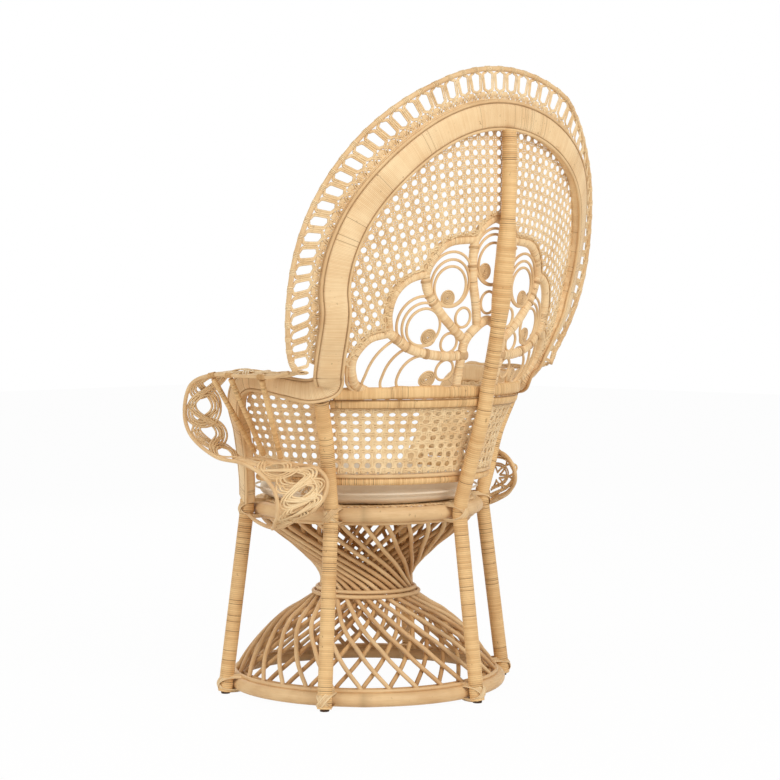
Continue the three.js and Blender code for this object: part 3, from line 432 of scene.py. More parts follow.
def wind(stock, line, outward, width, depth, section, pitch, groove=0.11, keep=(0.0, 1.0), vary=1.0,
         slack=0.05):
    """A cane wound edge to edge round a core that follows the line: each turn is a low rib, with painted
    shade in the grooves between turns.
    """
    line = np.asarray(line, float)
    outward = np.array(np.broadcast_to(np.asarray(outward, float), line.shape))
    run = np.concatenate([[0], np.cumsum(np.linalg.norm(np.diff(line, axis=0), axis=1))])
    width = np.array(np.broadcast_to(width, (len(line),)), float)
    depth = np.array(np.broadcast_to(depth, (len(line),)), float)
    heading = unit(np.gradient(line, axis=0))
    turns = max(2, round(run[-1] * (keep[1] - keep[0]) / pitch))
    sizes = np.array([1 + 0.16 * (random.random() - 0.5) for _ in range(turns)])
    edges = np.concatenate([[0], np.cumsum(sizes)])
    edges = run[-1] * (keep[0] + (keep[1] - keep[0]) * edges / edges[-1])
    at, sink, strand, seam = [], [], [], []
    for k in range(turns):
        tone = 0.35 + vary * (random.random() - 0.5)
        # Stretches where more turns work loose and sink deeper, and where the grooves carry more painted
        # shade.
        loose_and_shaded_gaps = (0.5 + 0.5 * math.sin(edges[k] / loose_and_shaded_gap_run + 2 * math.sin(edges[k] / loose_and_shaded_gap_drift))) ** 3
        loose = random.random() < slack * (0.3 + 3.5 * loose_and_shaded_gaps)
        low, high = edges[k], edges[k + 1]
        at += [low, low + 0.2 * (high - low), low + 0.8 * (high - low)]
        sink += [2.2 * groove if loose else groove, 0, 0]
        strand += [tone, tone, tone]
        # Painted shade: the seam mark darkens each groove, more in those stretches and most in the open gap
        # beside a loose turn.
        seam += [1.5 if loose else 0.3 + 0.4 * loose_and_shaded_gaps, 0.25 if loose else 0.0, 0.0]
    at.append(edges[-1])
    sink.append(groove)
    strand.append(strand[-1])
    seam.append(0.8)
    at, sink = np.array(at), np.array(sink) * pitch * 2
    lay(stock, look_up(at, run, line), look_up(at, run, outward), np.interp(at, run, width) - sink,
        np.interp(at, run, depth) - sink, section, strand=np.array(strand), seam=np.array(seam),
        along=look_up(at, run, heading))


arm_height = 741 * mm
back_middle = 985 * mm
spine_top = 1309 * mm
basket_top = 730 * mm
basket_radius = table([(0.6, 0.73), (0.71, 0.789), (0.83, 0.847), (0.95, 0.945), (1, 0.974), (1.05, 1)],
                      basket_top, 375 * mm)
beside_basket = 19.9 * mm
leg_at_base = 353 * mm
leg_at_seat = 299.4 * mm


def leg_lean(height):
    """How far from the axis a leg stands between the base ring and the seat ring."""
    slope = (leg_at_seat - leg_at_base) / (seat_ring_height - base_ring_height)
    return leg_at_base + slope * (height - base_ring_height)


leg_steps = 60


def leg_line(turn, top):
    """The leg leans in from the base ring to the seat ring, then follows the basket's flare."""
    height = np.linspace(foot_top, top, leg_steps + 1)
    beside = np.maximum(leg_at_seat, basket_radius(height) + beside_basket)
    return around(math.radians(turn), np.where(height < seat_ring_height, leg_lean(height), beside), height)


for leg, turn in leg_turns.items():
    stock = new_stock()
    node = "leg_" + leg
    line = leg_line(turn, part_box(node)[1].z)
    wind(stock, line, out_from_axis(line), leg_pole, leg_pole, round_section(20), leg_wrap, vary=0.6,
         slack=0.1)
    make_piece(node + "_wrapped", stock, bound_cane, [node])


# Glides: a flat dark rubber pad under each leg, with a softly rounded edge.
rubber = bpy.data.materials.new("glide_rubber")
rubber.use_nodes = True
rubber_tree = rubber.node_tree
rubber_shader = rubber_tree.nodes["Principled BSDF"]
rubber_place = rubber_tree.nodes.new("ShaderNodeTexCoord").outputs["Generated"]
rubber_specks = noise(rubber_tree, rubber_place, 300, 2)
rubber_tone = ramp(rubber_tree, rubber_specks, linear(66, 48, 34), linear(92, 70, 50))
rubber_tree.links.new(rubber_tone, rubber_shader.inputs["Base Color"])
rubber_shader.inputs["Roughness"].default_value = 0.75
# rows: share of the glide's height and of its radius
glide_shares = [(0.0, 0.9), (0.12, 0.97), (0.3, 1.0), (0.8, 1.0), (1.0, 0.96)]
for glide in [*leg_turns, "back"]:
    node = "glide_" + glide
    low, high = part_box(node)
    middle = np.array([(low.x + high.x) / 2, (low.y + high.y) / 2, 0])
    wide = [(high.x - low.x) * share for _, share in glide_shares]
    stock = new_stock()
    lay_round(stock, [middle + [0, 0, high.z * share] for share, _ in glide_shares], (1, 0, 0), wide, 24)
    make_piece(node + "_pad", stock, rubber, [node])


# Spine: the fifth leg runs on upwards as the mast of the back, wrapped from foot to tip.
# Two poles overlap under the wrap half way up the back, which makes it thicker there.
spine_meets_share = 0.364
spine_shares = [(spine_meets_share, 0.69), (0.447, 0.774), (0.508, 0.832), (0.568, 0.866), (0.612, 0.898),
                (0.672, 0.933), (0.751, 0.962), (0.8235, 0.987), (0.921, 1), (1, 0.998)]
spine_depth = table(spine_shares, spine_top, 447 * mm)
spine_steps = 160
splice_pole = 44 * mm
splice_rows = [0, 860 * mm, 924 * mm, 1052 * mm, 1116 * mm, spine_top]


def spine_line():
    """The mast leans in like the legs, clears the basket and then follows the back."""
    height = np.linspace(foot_top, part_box("back_spine")[1].z, spine_steps + 1)
    meets = spine_meets_share * spine_top
    run_on = np.interp(height, [seat_ring_height, meets], [leg_at_seat, spine_depth(meets)])
    radius = np.where(height < meets, run_on, spine_depth(height))
    radius = np.maximum(radius, np.where(height < basket_top, basket_radius(height) + beside_basket, 0))
    return around(0, np.where(height < seat_ring_height, leg_lean(height), radius), height)


stock = new_stock()
line = spine_line()
splice_poles = [leg_pole, leg_pole, splice_pole, splice_pole, leg_pole, leg_pole]
thick = np.interp(line[:, 2], splice_rows, splice_poles)
wind(stock, line, (0, 1, 0), thick, thick, round_section(22), leg_wrap, vary=0.8)
make_piece("back_spine_wrapped", stock, bound_cane, ["back_spine"])


# Pedestal: two layers of peeled canes stand between the rings and wind opposite ways round an
# hourglass. Thin hoops hold their ends, and a pair of hoops binds the waist.
cane = 10 * mm
cane_count = 30
cane_turn = math.radians(132)
cane_steps = 72
lattice_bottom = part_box("lattice_outer")[0].z
lattice_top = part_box("lattice_outer")[1].z
lattice_shares = [
    (0, 1), (0.04, 0.97), (0.089, 0.931), (0.168, 0.859), (0.24, 0.784), (0.301, 0.709), (0.364, 0.616),
    (0.416, 0.509), (0.487, 0.384), (0.52, 0.357), (0.555, 0.346), (0.586, 0.346), (0.613, 0.356),
    (0.675, 0.403), (0.738, 0.478), (0.809, 0.572), (0.874, 0.672), (0.94, 0.766), (1, 0.82)]
lattice_radius = table(lattice_shares, 1, base_ring_radius)
twist_shares = [
    (0, 0), (0.03, 0.012), (0.16, 0.08), (0.223, 0.112), (0.28, 0.15), (0.361, 0.207), (0.422, 0.262),
    (0.484, 0.34), (0.53, 0.415), (0.573, 0.49), (0.618, 0.585), (0.655, 0.66), (0.71, 0.755),
    (0.76, 0.83), (0.81, 0.885), (0.84, 0.91), (0.91, 0.955), (0.947, 0.975), (1, 1)]
twist = table(twist_shares, 1, 1)
# The inner layer takes a darker copy of the peeled cane's colours: painted shade for the shadow inside the
# pedestal.
shaded_cane = cane_finish("shaded_cane", linear(214, 172, 118), linear(166, 116, 68), (260, 26), 0.4,
                          streak=0.5, seam_shade=0.35, relief=0.12)


def lattice_layer(name, node, inset, way):
    stock = new_stock()
    low, high = lattice_bottom + cane * 0.55, lattice_top - cane * 0.55
    share = np.linspace(0, 1, cane_steps + 1)
    height = low + share * (high - low)
    radius = lattice_radius((height - lattice_bottom) / (lattice_top - lattice_bottom)) - inset - cane / 2
    for start in circle(cane_count):
        rows = around(start + way * cane_turn * twist(share), radius, height)
        thick = cane * (1.0 + 0.1 * random.random())
        lay_round(stock, rows, out_from_axis(rows), thick, 10, strand=random.random())
    for height, level in ((lattice_bottom + cane / 2, 0.0), (lattice_top - cane / 2, 1.0)):
        lay_hoop(stock, lattice_radius(level) - inset - cane / 2, height, cane, 120, 10, strand=0.4)
    make_piece(name, stock, shaded_cane if way < 0 else peeled_cane, [node])


lattice_layer("pedestal_outer_canes", "lattice_outer", 0, 1)
lattice_layer("pedestal_inner_canes", "lattice_inner", cane * 1.5, -1)
waist_squeeze_share = 0.995
for hoop in ("waist_hoop_upper", "waist_hoop_lower"):
    low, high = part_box(hoop)
    stock = new_stock()
    radius = (high.x - low.x) / 2 * waist_squeeze_share - cane / 2
    lay_hoop(stock, radius, (low.z + high.z) / 2, cane, 96, 12, strand=0.3)
    make_piece(hoop + "_cane", stock, peeled_cane, [hoop])


# Seat deck: a round of split cane in plain weave on the seat ring, hidden under the cushion.
split_cane = cane_finish("split_cane", linear(246, 218, 172), linear(214, 170, 114), (500, 45), 0.35,
                         streak=0.55, fleck=0.3, seam_shade=0.5, relief=0.18)
flat_section = [(0.5, 0.0), (0.3, 0.42), (-0.3, 0.42), (-0.5, 0.0), (-0.3, -0.42), (0.3, -0.42)]
deck_low, deck_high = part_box("seat_deck")
stock = new_stock()
deck_radius = (deck_high.x - deck_low.x) / 2
deck_strand = 11.5 * mm
deck_strand_depth = 1.9 * mm
deck_wave = 1.2 * mm
deck_margin = 2 * mm
deck_middle = (deck_low.z + deck_high.z) / 2
lines = int(deck_radius // deck_strand)
for way in (0, 1):
    for k in range(-lines, lines + 1):
        off = k * deck_strand
        reach = math.sqrt(max(deck_radius ** 2 - off ** 2, 0)) - deck_margin
        if reach < deck_strand:
            continue
        run = np.linspace(-reach, reach, max(4, int(2 * reach / (deck_strand / 2))) + 1)
        lift = deck_wave * np.cos(math.pi * run / deck_strand + math.pi * (k + way))
        flat = (off + 0 * run, run) if way else (run, off + 0 * run)
        rows = np.stack([flat[0], flat[1] + axis_y, deck_middle + lift], 1)
        lay(stock, rows, (0, 0, 1), deck_strand * 0.93, deck_strand_depth, flat_section,
            strand=random.random())
make_piece("seat_deck_weave", stock, split_cane, ["seat_deck"])


# Cushion: a loose round pad in plain undyed cloth, crowned, with a corded seam round its middle.
# A cloth simulation fills it from a slightly smaller shape. The long folds and the puckers beside the
# seam are then pressed in by a formula.
cushion_low, cushion_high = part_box("seat_cushion")
cushion_radius = (cushion_high.x - cushion_low.x) / 2
cushion_thickness = cushion_high.z - cushion_low.z
cushion_steps = 72
cushion_cut_share = 0.985
# rows: share of the cushion's radius and of its thickness, from under its middle to its top
cushion_shares = [(0.45, 0.0), (0.8, 0.01), (0.93, 0.08), (0.975, 0.22), (0.96, 0.4), (0.965, 0.52),
                  (0.93, 0.7), (0.82, 0.86), (0.62, 0.93), (0.35, 0.96)]
crown_share = 0.97
cloth_cell = 6 * mm
fill_frames = 20
most_swell = 7 * mm
crown_spare = 2 * mm
fold_depth = 2.2 * mm
pucker_depth = 0.7 * mm
seam_cord = 5 * mm
seam_reach_share = 0.972
seam_level_share = 0.42


def cushion_cloth():
    """Undyed cloth in plain weave: fine threads three ways and slow clouds of tone."""
    material = bpy.data.materials.new("cushion_cloth")
    material.use_nodes = True
    tree = material.node_tree
    shader = tree.nodes["Principled BSDF"]
    shader.inputs["Roughness"].default_value = 0.88
    shader.inputs["Specular IOR Level"].default_value = 0.2
    shader.inputs["Sheen Weight"].default_value = 0.15
    place = tree.nodes.new("ShaderNodeTexCoord").outputs["Object"]
    weave = None
    for way, detail in (("X", 1), ("Y", 1), ("Z", 2)):
        threads = tree.nodes.new("ShaderNodeTexWave")
        threads.bands_direction = way
        threads.inputs["Scale"].default_value = 420
        threads.inputs["Distortion"].default_value = 1.2
        threads.inputs["Detail"].default_value = detail
        tree.links.new(place, threads.inputs["Vector"])
        if weave is None:
            weave = threads.outputs["Fac"]
        else:
            half = reckon(tree, "MULTIPLY", threads.outputs["Fac"], 0.5)
            weave = reckon(tree, "MULTIPLY_ADD", weave, 0.5, half)
    tone = reckon(tree, "MULTIPLY_ADD", weave, 0.35, noise(tree, place, 9, 5))
    colour = ramp(tree, tone, linear(226, 203, 171), linear(248, 232, 207), 0.25, 0.95)
    tree.links.new(colour, shader.inputs["Base Color"])
    grain(tree, shader, weave, 0.35, 0.4 * mm)
    return material


def cut_cushion():
    """The sewn cover before it is filled, a little smaller than the cushion."""
    points = []
    for wide, level in cushion_shares:
        radius = wide * cushion_radius * cushion_cut_share
        points += list(around(circle(cushion_steps), radius, cushion_low.z + level * cushion_thickness))
    rows = len(cushion_shares)
    under, top = len(points), len(points) + 1
    points += [around(0, 0, cushion_low.z), around(0, 0, cushion_low.z + crown_share * cushion_thickness)]
    faces = []
    pairs = [(k, (k + 1) % cushion_steps) for k in range(cushion_steps)]
    last = (rows - 1) * cushion_steps
    for first in range(0, last, cushion_steps):
        above = first + cushion_steps
        faces += [(first + beside, first + k, above + k, above + beside) for k, beside in pairs]
    for k, beside in pairs:
        faces += [(under, k, beside), (top, last + beside, last + k)]
    mesh = bpy.data.meshes.new("seat_cushion_pad")
    mesh.from_pydata([tuple(row) for row in points], [], faces)
    pad = bpy.data.objects.new("seat_cushion_pad", mesh)
    bpy.context.scene.collection.objects.link(pad)
    bpy.context.view_layer.objects.active = pad
    return pad


def places_of(mesh):
    rows = np.zeros(len(mesh.vertices) * 3, np.float32)
    mesh.vertices.foreach_get("co", rows)
    return rows.reshape(-1, 3).astype(float)


def move_to(mesh, rows):
    mesh.vertices.foreach_set("co", rows.astype(np.float32).ravel())
    mesh.update()


def swell_cushion(pad):
    """Fills the cover: even cells of cloth, pressed outwards from within."""
    even = pad.modifiers.new("even", "REMESH")
    even.mode = "VOXEL"
    even.voxel_size = cloth_cell
    with bpy.context.temp_override(object=pad, active_object=pad, selected_objects=[pad]):
        bpy.ops.object.modifier_apply(modifier="even")
    rest = places_of(pad.data)
    fill = pad.modifiers.new("fill", "CLOTH")
    fill.settings.quality = 5
    fill.settings.mass = 0.3
    fill.settings.use_pressure = True
    fill.settings.uniform_pressure_force = 3.5
    fill.settings.effector_weights.gravity = 0
    fill.collision_settings.use_collision = False
    scene = bpy.context.scene
    for frame_number in range(1, fill_frames + 1):
        scene.frame_set(frame_number)
    swollen = pad.evaluated_get(bpy.context.evaluated_depsgraph_get())
    step = places_of(swollen.to_mesh()) - rest
    swollen.to_mesh_clear()
    pad.modifiers.remove(fill)
    scene.frame_set(1)
    step *= np.minimum(1, most_swell / np.maximum(np.linalg.norm(step, axis=1, keepdims=True), 1e-9))
    placed = rest + step
    placed[:, 2] = np.clip(placed[:, 2], cushion_low.z, cushion_high.z + crown_spare)
    move_to(pad.data, placed)


def press_folds(pad):
    """Long slack folds above the seam, small puckers beside it and soft dents in the top."""
    rows = places_of(pad.data) - [0, axis_y, 0]
    turn = np.arctan2(rows[:, 0], rows[:, 1])
    level = (rows[:, 2] - cushion_low.z) / cushion_thickness
    reach = np.hypot(rows[:, 0], rows[:, 1]) / cushion_radius
    fold = fold_depth * np.exp(-((level - 0.62 - 0.06 * np.sin(3 * turn)) / 0.09) ** 2)
    fold *= 0.55 + 0.45 * np.sin(5 * turn + 1)
    pucker = pucker_depth * np.sin(61 * turn + 2 * np.sin(7 * turn)) * np.exp(-((level - 0.46) / 0.16) ** 2)
    rows[:, :2] *= (1 - (fold + pucker) / cushion_radius * (reach > 0.8))[:, None]
    dent = fold_depth * (level > 0.7) * (0.5 + 0.5 * np.sin(3 * turn + 4 * reach)) * np.clip(1 - reach, 0, 1)
    rows[:, 2] -= dent
    move_to(pad.data, rows + [0, axis_y, 0])


def make_cushion():
    cloth = cushion_cloth()
    pad = cut_cushion()
    swell_cushion(pad)
    press_folds(pad)
    finer = pad.modifiers.new("finer", "SUBSURF")
    finer.levels = 1
    finer.render_levels = 1
    pad.data.polygons.foreach_set("use_smooth", np.ones(len(pad.data.polygons), bool))
    pad.data.materials.append(cloth)
    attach(pad, "cushion")
    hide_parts("seat_cushion")

    stock = new_stock()
    height = cushion_low.z + seam_level_share * cushion_thickness
    lay_hoop(stock, seam_reach_share * cushion_radius, height, seam_cord, 128, 8)
    make_piece("seat_cushion_seam", stock, cloth, body="cushion")


make_cushion()


# Back rim: a broad flat band of wrapped canes that runs over the back and down to the arms, then
# over each arm and down on to the front leg. A thin round cane is bound along each of its edges.
back_half_width = 404 * mm
back_rise = 353.5 * mm
back_sag = 156 * mm
rim_width = 59 * mm
rim_depth = 30 * mm
arm_rim_width = 42 * mm
arm_half_width = 372 * mm
arm_reach = 247 * mm
web_thickness = 4 * mm
clearance = 0.3 * mm
rim_set = 8 * mm
arch_turn = math.radians(105)
arch_steps = 12
rim_wrap = 2.9 * mm
wrapped_cane = cane_finish("wrapped_cane", linear(249, 217, 168), linear(218, 168, 110), (30, 420), 0.42,
                           streak=0.42, fleck=0.5, seam_shade=0.75, relief=0.15)
back_set = leg_pole / 2 + clearance + web_thickness / 2 + 2 * clearance
sag_shares = [(0.535, 1.73), (0.563, 1.39), (0.582, 1.14), (0.611, 1), (0.649, 0.87),
              (0.739, 0.737), (0.864, 0.583), (0.963, 0.314), (1.022, 0.128), (1.06, 0.08)]
sag_at = table(sag_shares, spine_top, back_sag)
arm_rim_shares = [
    (0.997, 1, 1.08, 55), (0.965, 0.931, 1.028, 50), (0.914, 0.85, 0.995, 42),
    (0.946, 0.708, 0.977, 25), (0.981, 0.445, 0.986, 12), (1, 0.186, 1, 2),
    (1, -0.04, 1, -5), (0.987, -0.194, 0.969, -8), (0.957, -0.275, 0.911, -10),
    (0.876, -0.34, 0.837, -15), (0.815, -0.397, 0.756, -18), (0.763, -0.457, 0.675, -22),
    (0.715, -0.535, 0.6, -25)]


def on_back(x, z):
    """The hollow leaning sheet in which the webbing of the back lies."""
    x, z = np.asarray(x, float), np.asarray(z, float)
    sag = sag_at(z) * (x / back_half_width) ** 2
    return np.stack([x, spine_depth(z) - back_set - sag + axis_y, z], -1)


def back_facing(x, z):
    """The way the sheet of the back faces, towards the rear."""
    x, z = np.asarray(x, float), np.asarray(z, float)
    slope = 2 * sag_at(z) * x / back_half_width ** 2
    return unit(np.stack([slope, np.ones_like(slope), np.zeros_like(slope)], -1))


def arm_place(shares, half_width=arm_half_width):
    """Places on the left arm, from shares of its half width, reach and height."""
    return np.asarray(shares, float)[..., :3] * [half_width, arm_reach, arm_height] + [0, axis_y, 0]


arch_turns = np.linspace(-arch_turn, arch_turn, 2 * arch_steps + 1)
arch_x, arch_z = back_half_width * np.sin(arch_turns), back_middle + back_rise * np.cos(arch_turns)
arch_set = (rim_set * np.cos(arch_turns / 2))[:, None]
arch_rows = on_back(arch_x, arch_z) + back_facing(arch_x, arch_z) * arch_set
arm_rows = arm_place(arm_rim_shares)
rim_rows = np.concatenate([arm_rows[::-1] * [-1, 1, 1], arch_rows, arm_rows])
rim_spans = len(rim_rows) - 1
arm_start = 1 - (len(arm_rows) - 1) / rim_spans
seam_share = arm_start + 1 / rim_spans


def rim_line(start, end, count):
    return smooth_line(rim_rows, count, start=start, end=end)


def rim_facing(shares, centres):
    """The way the flat of the band faces: square to the back, then turned along the arm."""
    rows = []
    for share, centre in zip(shares, centres):
        half, way = (1 - share, -1) if share < 0.5 else (share, 1)
        if half <= arm_start:
            rows.append(back_facing(centre[0], centre[2]))
            continue
        place = (half - arm_start) * rim_spans
        turn = math.radians(np.interp(place, range(len(arm_rim_shares)), [row[3] for row in arm_rim_shares]))
        rows.append(np.array([way * math.cos(turn), math.sin(turn), 0]))
    return np.array(rows)


def rim_width_at(shares):
    half = np.maximum(shares, 1 - np.asarray(shares))
    on_arm = np.clip((half - seam_share) / (1 - seam_share), 0, 1)
    return rim_width + (arm_rim_width - rim_width) * np.minimum(1, on_arm * 4)


def band_section(points=20, power=4.0):
    """Outline of a flat band with soft edges, one unit across."""
    rows = 2 * round_section(points)
    return 0.5 * np.copysign(np.abs(rows) ** (2 / power), rows)


def rim_frame(start, end, count):
    """Middles, facings, sideways directions and widths along a stretch of the rim."""
    shares = np.linspace(start, end, count)
    centres = rim_line(start, end, count)
    facing = rim_facing(shares, centres)
    along = unit(np.gradient(centres, axis=0))
    facing = unit(facing - (facing * along).sum(1, keepdims=True) * along)
    side = unit(np.cross(along, facing))
    return shares, centres, facing, side, rim_width_at(shares)


edge_cane = 7.5 * mm
rim_cord = 1.9 * mm
rim_cord_inset = 2.6 * mm
post_foot = 457.9 * mm


def wrap_rim(name, start, end, count, node):
    shares, centres, facing, side, width = rim_frame(start, end, count)
    keep = centres[:, 2] > post_foot
    shares, centres, facing, side, width = (rows[keep] for rows in (shares, centres, facing, side, width))
    stock = new_stock()
    wind(stock, centres, facing, width, rim_depth, band_section(), rim_wrap, groove=0.06, vary=0.35,
         slack=0.03)
    make_piece(name, stock, wrapped_cane, [node])
    stock = new_stock()
    for way in (-1, 1):
        edge = centres + side * (way * (width[:, None] / 2 + edge_cane * 0.16)) + facing * rim_depth * 0.33
        lay_round(stock, edge, facing, edge_cane, 10, strand=0.3 + 0.2 * way)
        # A thin binding cord in the crevice between band and edge cane, darkened through the seam mark as
        # painted shade of that crevice.
        cord = centres + side * (way * (width[:, None] / 2 - rim_cord_inset)) + facing * rim_depth * 0.42
        lay_round(stock, cord, facing, rim_cord, 6, strand=0.9, seam=1.15)
    make_piece(name + "_edges", stock, peeled_cane)


wrap_rim("back_rim_wrapped", 1 - seam_share, seam_share, 700, "back_rim")
seam_gap = 0.25 / rim_spans * 0.06
wrap_rim("arm_rim_left_wrapped", seam_share + seam_gap, 1, 260, "arm_rim_left")
wrap_rim("arm_rim_right_wrapped", 1 - seam_share - seam_gap, 0, 260, "arm_rim_right")


# Border of the back: a round outer rod stands clear of the rim. Flat strands fan out from the rim and
# cross, stand side by side as a barrel-shaped post, then part again and are knotted to the rod.
border_half_width = 503 * mm
border_rise = 457 * mm
border_rod = 11.5 * mm
border_turn = math.radians(118.4)
border_lean_shares = [
    (0.553, 0.485), (0.596, 0.529), (0.642, 0.574), (0.687, 0.613), (0.733, 0.652), (0.776, 0.693),
    (0.816, 0.739), (0.854, 0.787), (0.889, 0.835), (0.92, 0.888), (0.946, 0.938), (0.968, 0.984), (1, 1)]
border_depth = table(border_lean_shares, back_middle + border_rise, 437 * mm)
half_bays = 26
bay_shares = ([0, 6, half_bays], [0, 0.2515, 1])
lace_points = 900
lace_gap = 1.5 * mm


def border_point(turn):
    """Places on the outer rod, by their turn from the top of the back."""
    turn = np.asarray(turn, float)
    z = back_middle + border_rise * np.cos(turn)
    return np.stack([border_half_width * np.sin(turn), border_depth(z) + axis_y, z], -1)


def bare_rod(name, line, outward, thick, strand, node):
    """A piece of its own, made of one peeled rod."""
    stock = new_stock()
    lay_round(stock, line, outward, thick, 12, strand=strand)
    make_piece(name, stock, peeled_cane, [node])


border_line = border_point(np.linspace(-border_turn, border_turn, 260))
bare_rod("back_outer_rod_cane", border_line, (0, 1, 0), border_rod, 0.4, "back_outer_rod")
lace_low = 1 - arm_start - 0.4 / rim_spans
_, lace_centres, lace_facing, lace_side, _ = rim_frame(lace_low, 1 - lace_low, lace_points)
lace_inner = lace_centres + lace_side * (rim_width / 2 + lace_gap)
lace_outer = border_point(border_turn * np.linspace(-1, 1, lace_points))
lace_run = np.linalg.norm(np.diff((lace_inner + lace_outer) / 2, axis=0), axis=1).cumsum()
lace_run = np.concatenate([[0], lace_run]) / lace_run[-1]


def on_lace(u, v, lift):
    """A place on the border: u in bays from the top, v from the rim to the outer rod, lifted off it."""
    share = 0.5 + 0.5 * np.sign(u) * np.interp(np.abs(u), *bay_shares)
    inner, outer, facing = (look_up(share, lace_run, rows) for rows in (lace_inner, lace_outer, lace_facing))
    return inner + (outer - inner) * (v + 0 * u)[:, None] + facing * (lift + 0 * u)[:, None], facing


# rows: share of the way out, how far an outer and an inner strand of a post stand off its middle, width
post_rows = np.array([
    (0.0, 0.98, 0.8, 4.2), (0.1, 0.84, 0.67, 4.4), (0.18, 0.74, 0.56, 4.6), (0.25, 0.63, 0.46, 4.8),
    (0.3, 0.52, 0.36, 4.8), (0.335, 0.4, 0.25, 4.8), (0.36, 0.28, 0.14, 4.8), (0.395, 0.2, 0.075, 4.8),
    (0.45, 0.18, 0.06, 4.8), (0.53, 0.178, 0.059, 4.8), (0.61, 0.176, 0.058, 4.8), (0.7, 0.174, 0.057, 4.8),
    (0.78, 0.176, 0.06, 4.8), (0.84, 0.2, 0.08, 4.8), (0.88, 0.3, 0.19, 4.8), (0.905, 0.42, 0.36, 4.8),
    (0.955, 0.5, 0.56, 4.8)])
# rows: foot and head of the short canes that stand between the strands under a post
tent_rows = ((0.44, 0.13), (0.27, 0.07), (0.1, 0.02))
flat_five = [(0.5, -0.1), (0.24, 0.42), (-0.24, 0.42), (-0.5, -0.1), (0.0, -0.45)]
post_depth = 2.1 * mm
tent_strand = 4.2 * mm
tent_depth = 1.8 * mm
tent_drop = 1.1 * mm
knot_strand = 3.2 * mm
knot_depth = 1.5 * mm
knot_rise = 0.4 * mm
# rows: a band's share of the way out, its thickness and how far it is lifted
border_bands = ((0.02, 4.6 * mm, 0.8 * mm), (0.07, 3.4 * mm, 0.2 * mm))
knot_shifts = (-0.12, -0.03, 0.06, 0.15)


def lay_flat(stock, centres, outward, width, depth, palest, spare, **more):
    """Lays one flat strand of split cane, its tint drawn by chance from palest on."""
    lay(stock, centres, outward, width, depth, flat_five, strand=palest + spare * random.random(), **more)


def tie_round(stock, middle, first, second, reach, points, width, depth, section, strand, seam):
    """One turn of split cane round a rod, in the plane of two directions."""
    turns = circle(points)[:, None]
    loop = middle + (first * np.cos(turns) + second * np.sin(turns)) * reach
    lay(stock, loop, unit(loop - middle), width, depth, section, closed=True, strand=strand, seam=seam)


def shadow(rise, place, reach, depth):
    """Dark that gathers round one place along a strand."""
    return depth * np.exp(-((rise - place) / reach) ** 2)


def lace_the_border():
    stock = new_stock()
    smooth = smooth_line(post_rows[:, :3], 40)
    widths = np.interp(np.linspace(0, 1, 40), np.linspace(0, 1, len(post_rows)), post_rows[:, 3]) * mm
    rise = smooth[:, 0]
    dark = shadow(rise, 0.17, 0.04, 0.4) + shadow(rise, 0.94, 0.03, 0.45)
    dark += shadow(rise, 0.3, 0.03, 0.3) + shadow(rise, 0.72, 0.03, 0.3)
    share = np.linspace(0, 1, 8)
    for post in range(-half_bays, half_bays + 1):
        for way in (-1, 1):
            for place in (1, 2):
                u = post + way * smooth[:, place]
                lift = (way * (0.9 * np.cos(rise * math.pi * 2.1) + 0.2) + 0.5 * (place - 1.5)) * mm
                keep = np.abs(u) < half_bays - 0.06
                if keep.sum() < 6:
                    continue
                rows, facing = on_lace(u[keep], rise[keep], lift[keep])
                lay_flat(stock, rows, facing, widths[keep], post_depth, 0.25, 0.6, seam=dark[keep])
            for foot, head in tent_rows if abs(post) < half_bays else ():
                u = post + way * (foot + (head - foot) * share)
                rows, facing = on_lace(u, 0.02 + 0.29 * share, -tent_drop)
                lay_flat(stock, rows, facing, tent_strand, tent_depth, 0.3, 0.6)
    u = np.linspace(0.15 - half_bays, half_bays - 0.15, 800)
    for out, thick, lift in border_bands:
        rows, facing = on_lace(u, out, lift)
        lay(stock, rows, facing, thick, thick * 0.8, round_section(8), strand=0.4, seam=0.12)
    for bay in range(-half_bays, half_bays):
        for shift in knot_shifts:
            centre, facing = on_lace(bay + 0.5 + shift + np.array([-0.02, 0, 0.02]), 1, 0)
            along = unit(centre[2] - centre[0])
            out = unit(np.cross(along, facing[1]))
            tie_round(stock, centre[1], out, np.cross(out, along), border_rod / 2 + knot_rise, 12,
                      knot_strand, knot_depth, flat_five, 0.1 + 0.6 * random.random(), 0.1)
    make_piece("back_border_lace", stock, split_cane, ["back_lace"])


lace_the_border()


# Medallion: poles wrapped in cane are bent to seven lobes and an arch, with a bare rod along the outer
# side. In each lobe thin rods are bent round a flat coil, nailed and bound where they meet the poles.
rail_width = 27 * mm
rail_depth = 24 * mm
rail_height = arm_height - rail_width
medallion_rise = 396 * mm
medallion_half_width = 319 * mm
medallion_pole = 18 * mm
scroll_rod = 6.4 * mm
coil_width = 43 * mm
medallion_inset = (medallion_pole + web_thickness) / 2 + 13 * clearance
outer_lines = {
    "lobe_a": [(0.79, 0.0101), (0.912, 0.0682), (0.987, 0.149), (1, 0.2323), (0.944, 0.3182),
               (0.821, 0.351)],
    "lobe_b": [(0.821, 0.351), (0.85, 0.4571), (0.824, 0.5707), (0.746, 0.6439), (0.614, 0.6843)],
    "lobe_c": [(0.614, 0.6843), (0.567, 0.7727), (0.455, 0.8535), (0.207, 0.8813)]}
stem_lines = {
    "stem_ab": [(0.207, 0.2197), (0.329, 0.2146), (0.47, 0.2247), (0.643, 0.2601), (0.821, 0.351)],
    "stem_bc": [(0.213, 0.3081), (0.351, 0.3889), (0.47, 0.4747), (0.577, 0.5833), (0.614, 0.6843)],
    "stem_cd": [(0.103, 0.3838), (0.138, 0.5076), (0.182, 0.6263), (0.207, 0.7475), (0.207, 0.8813)]}
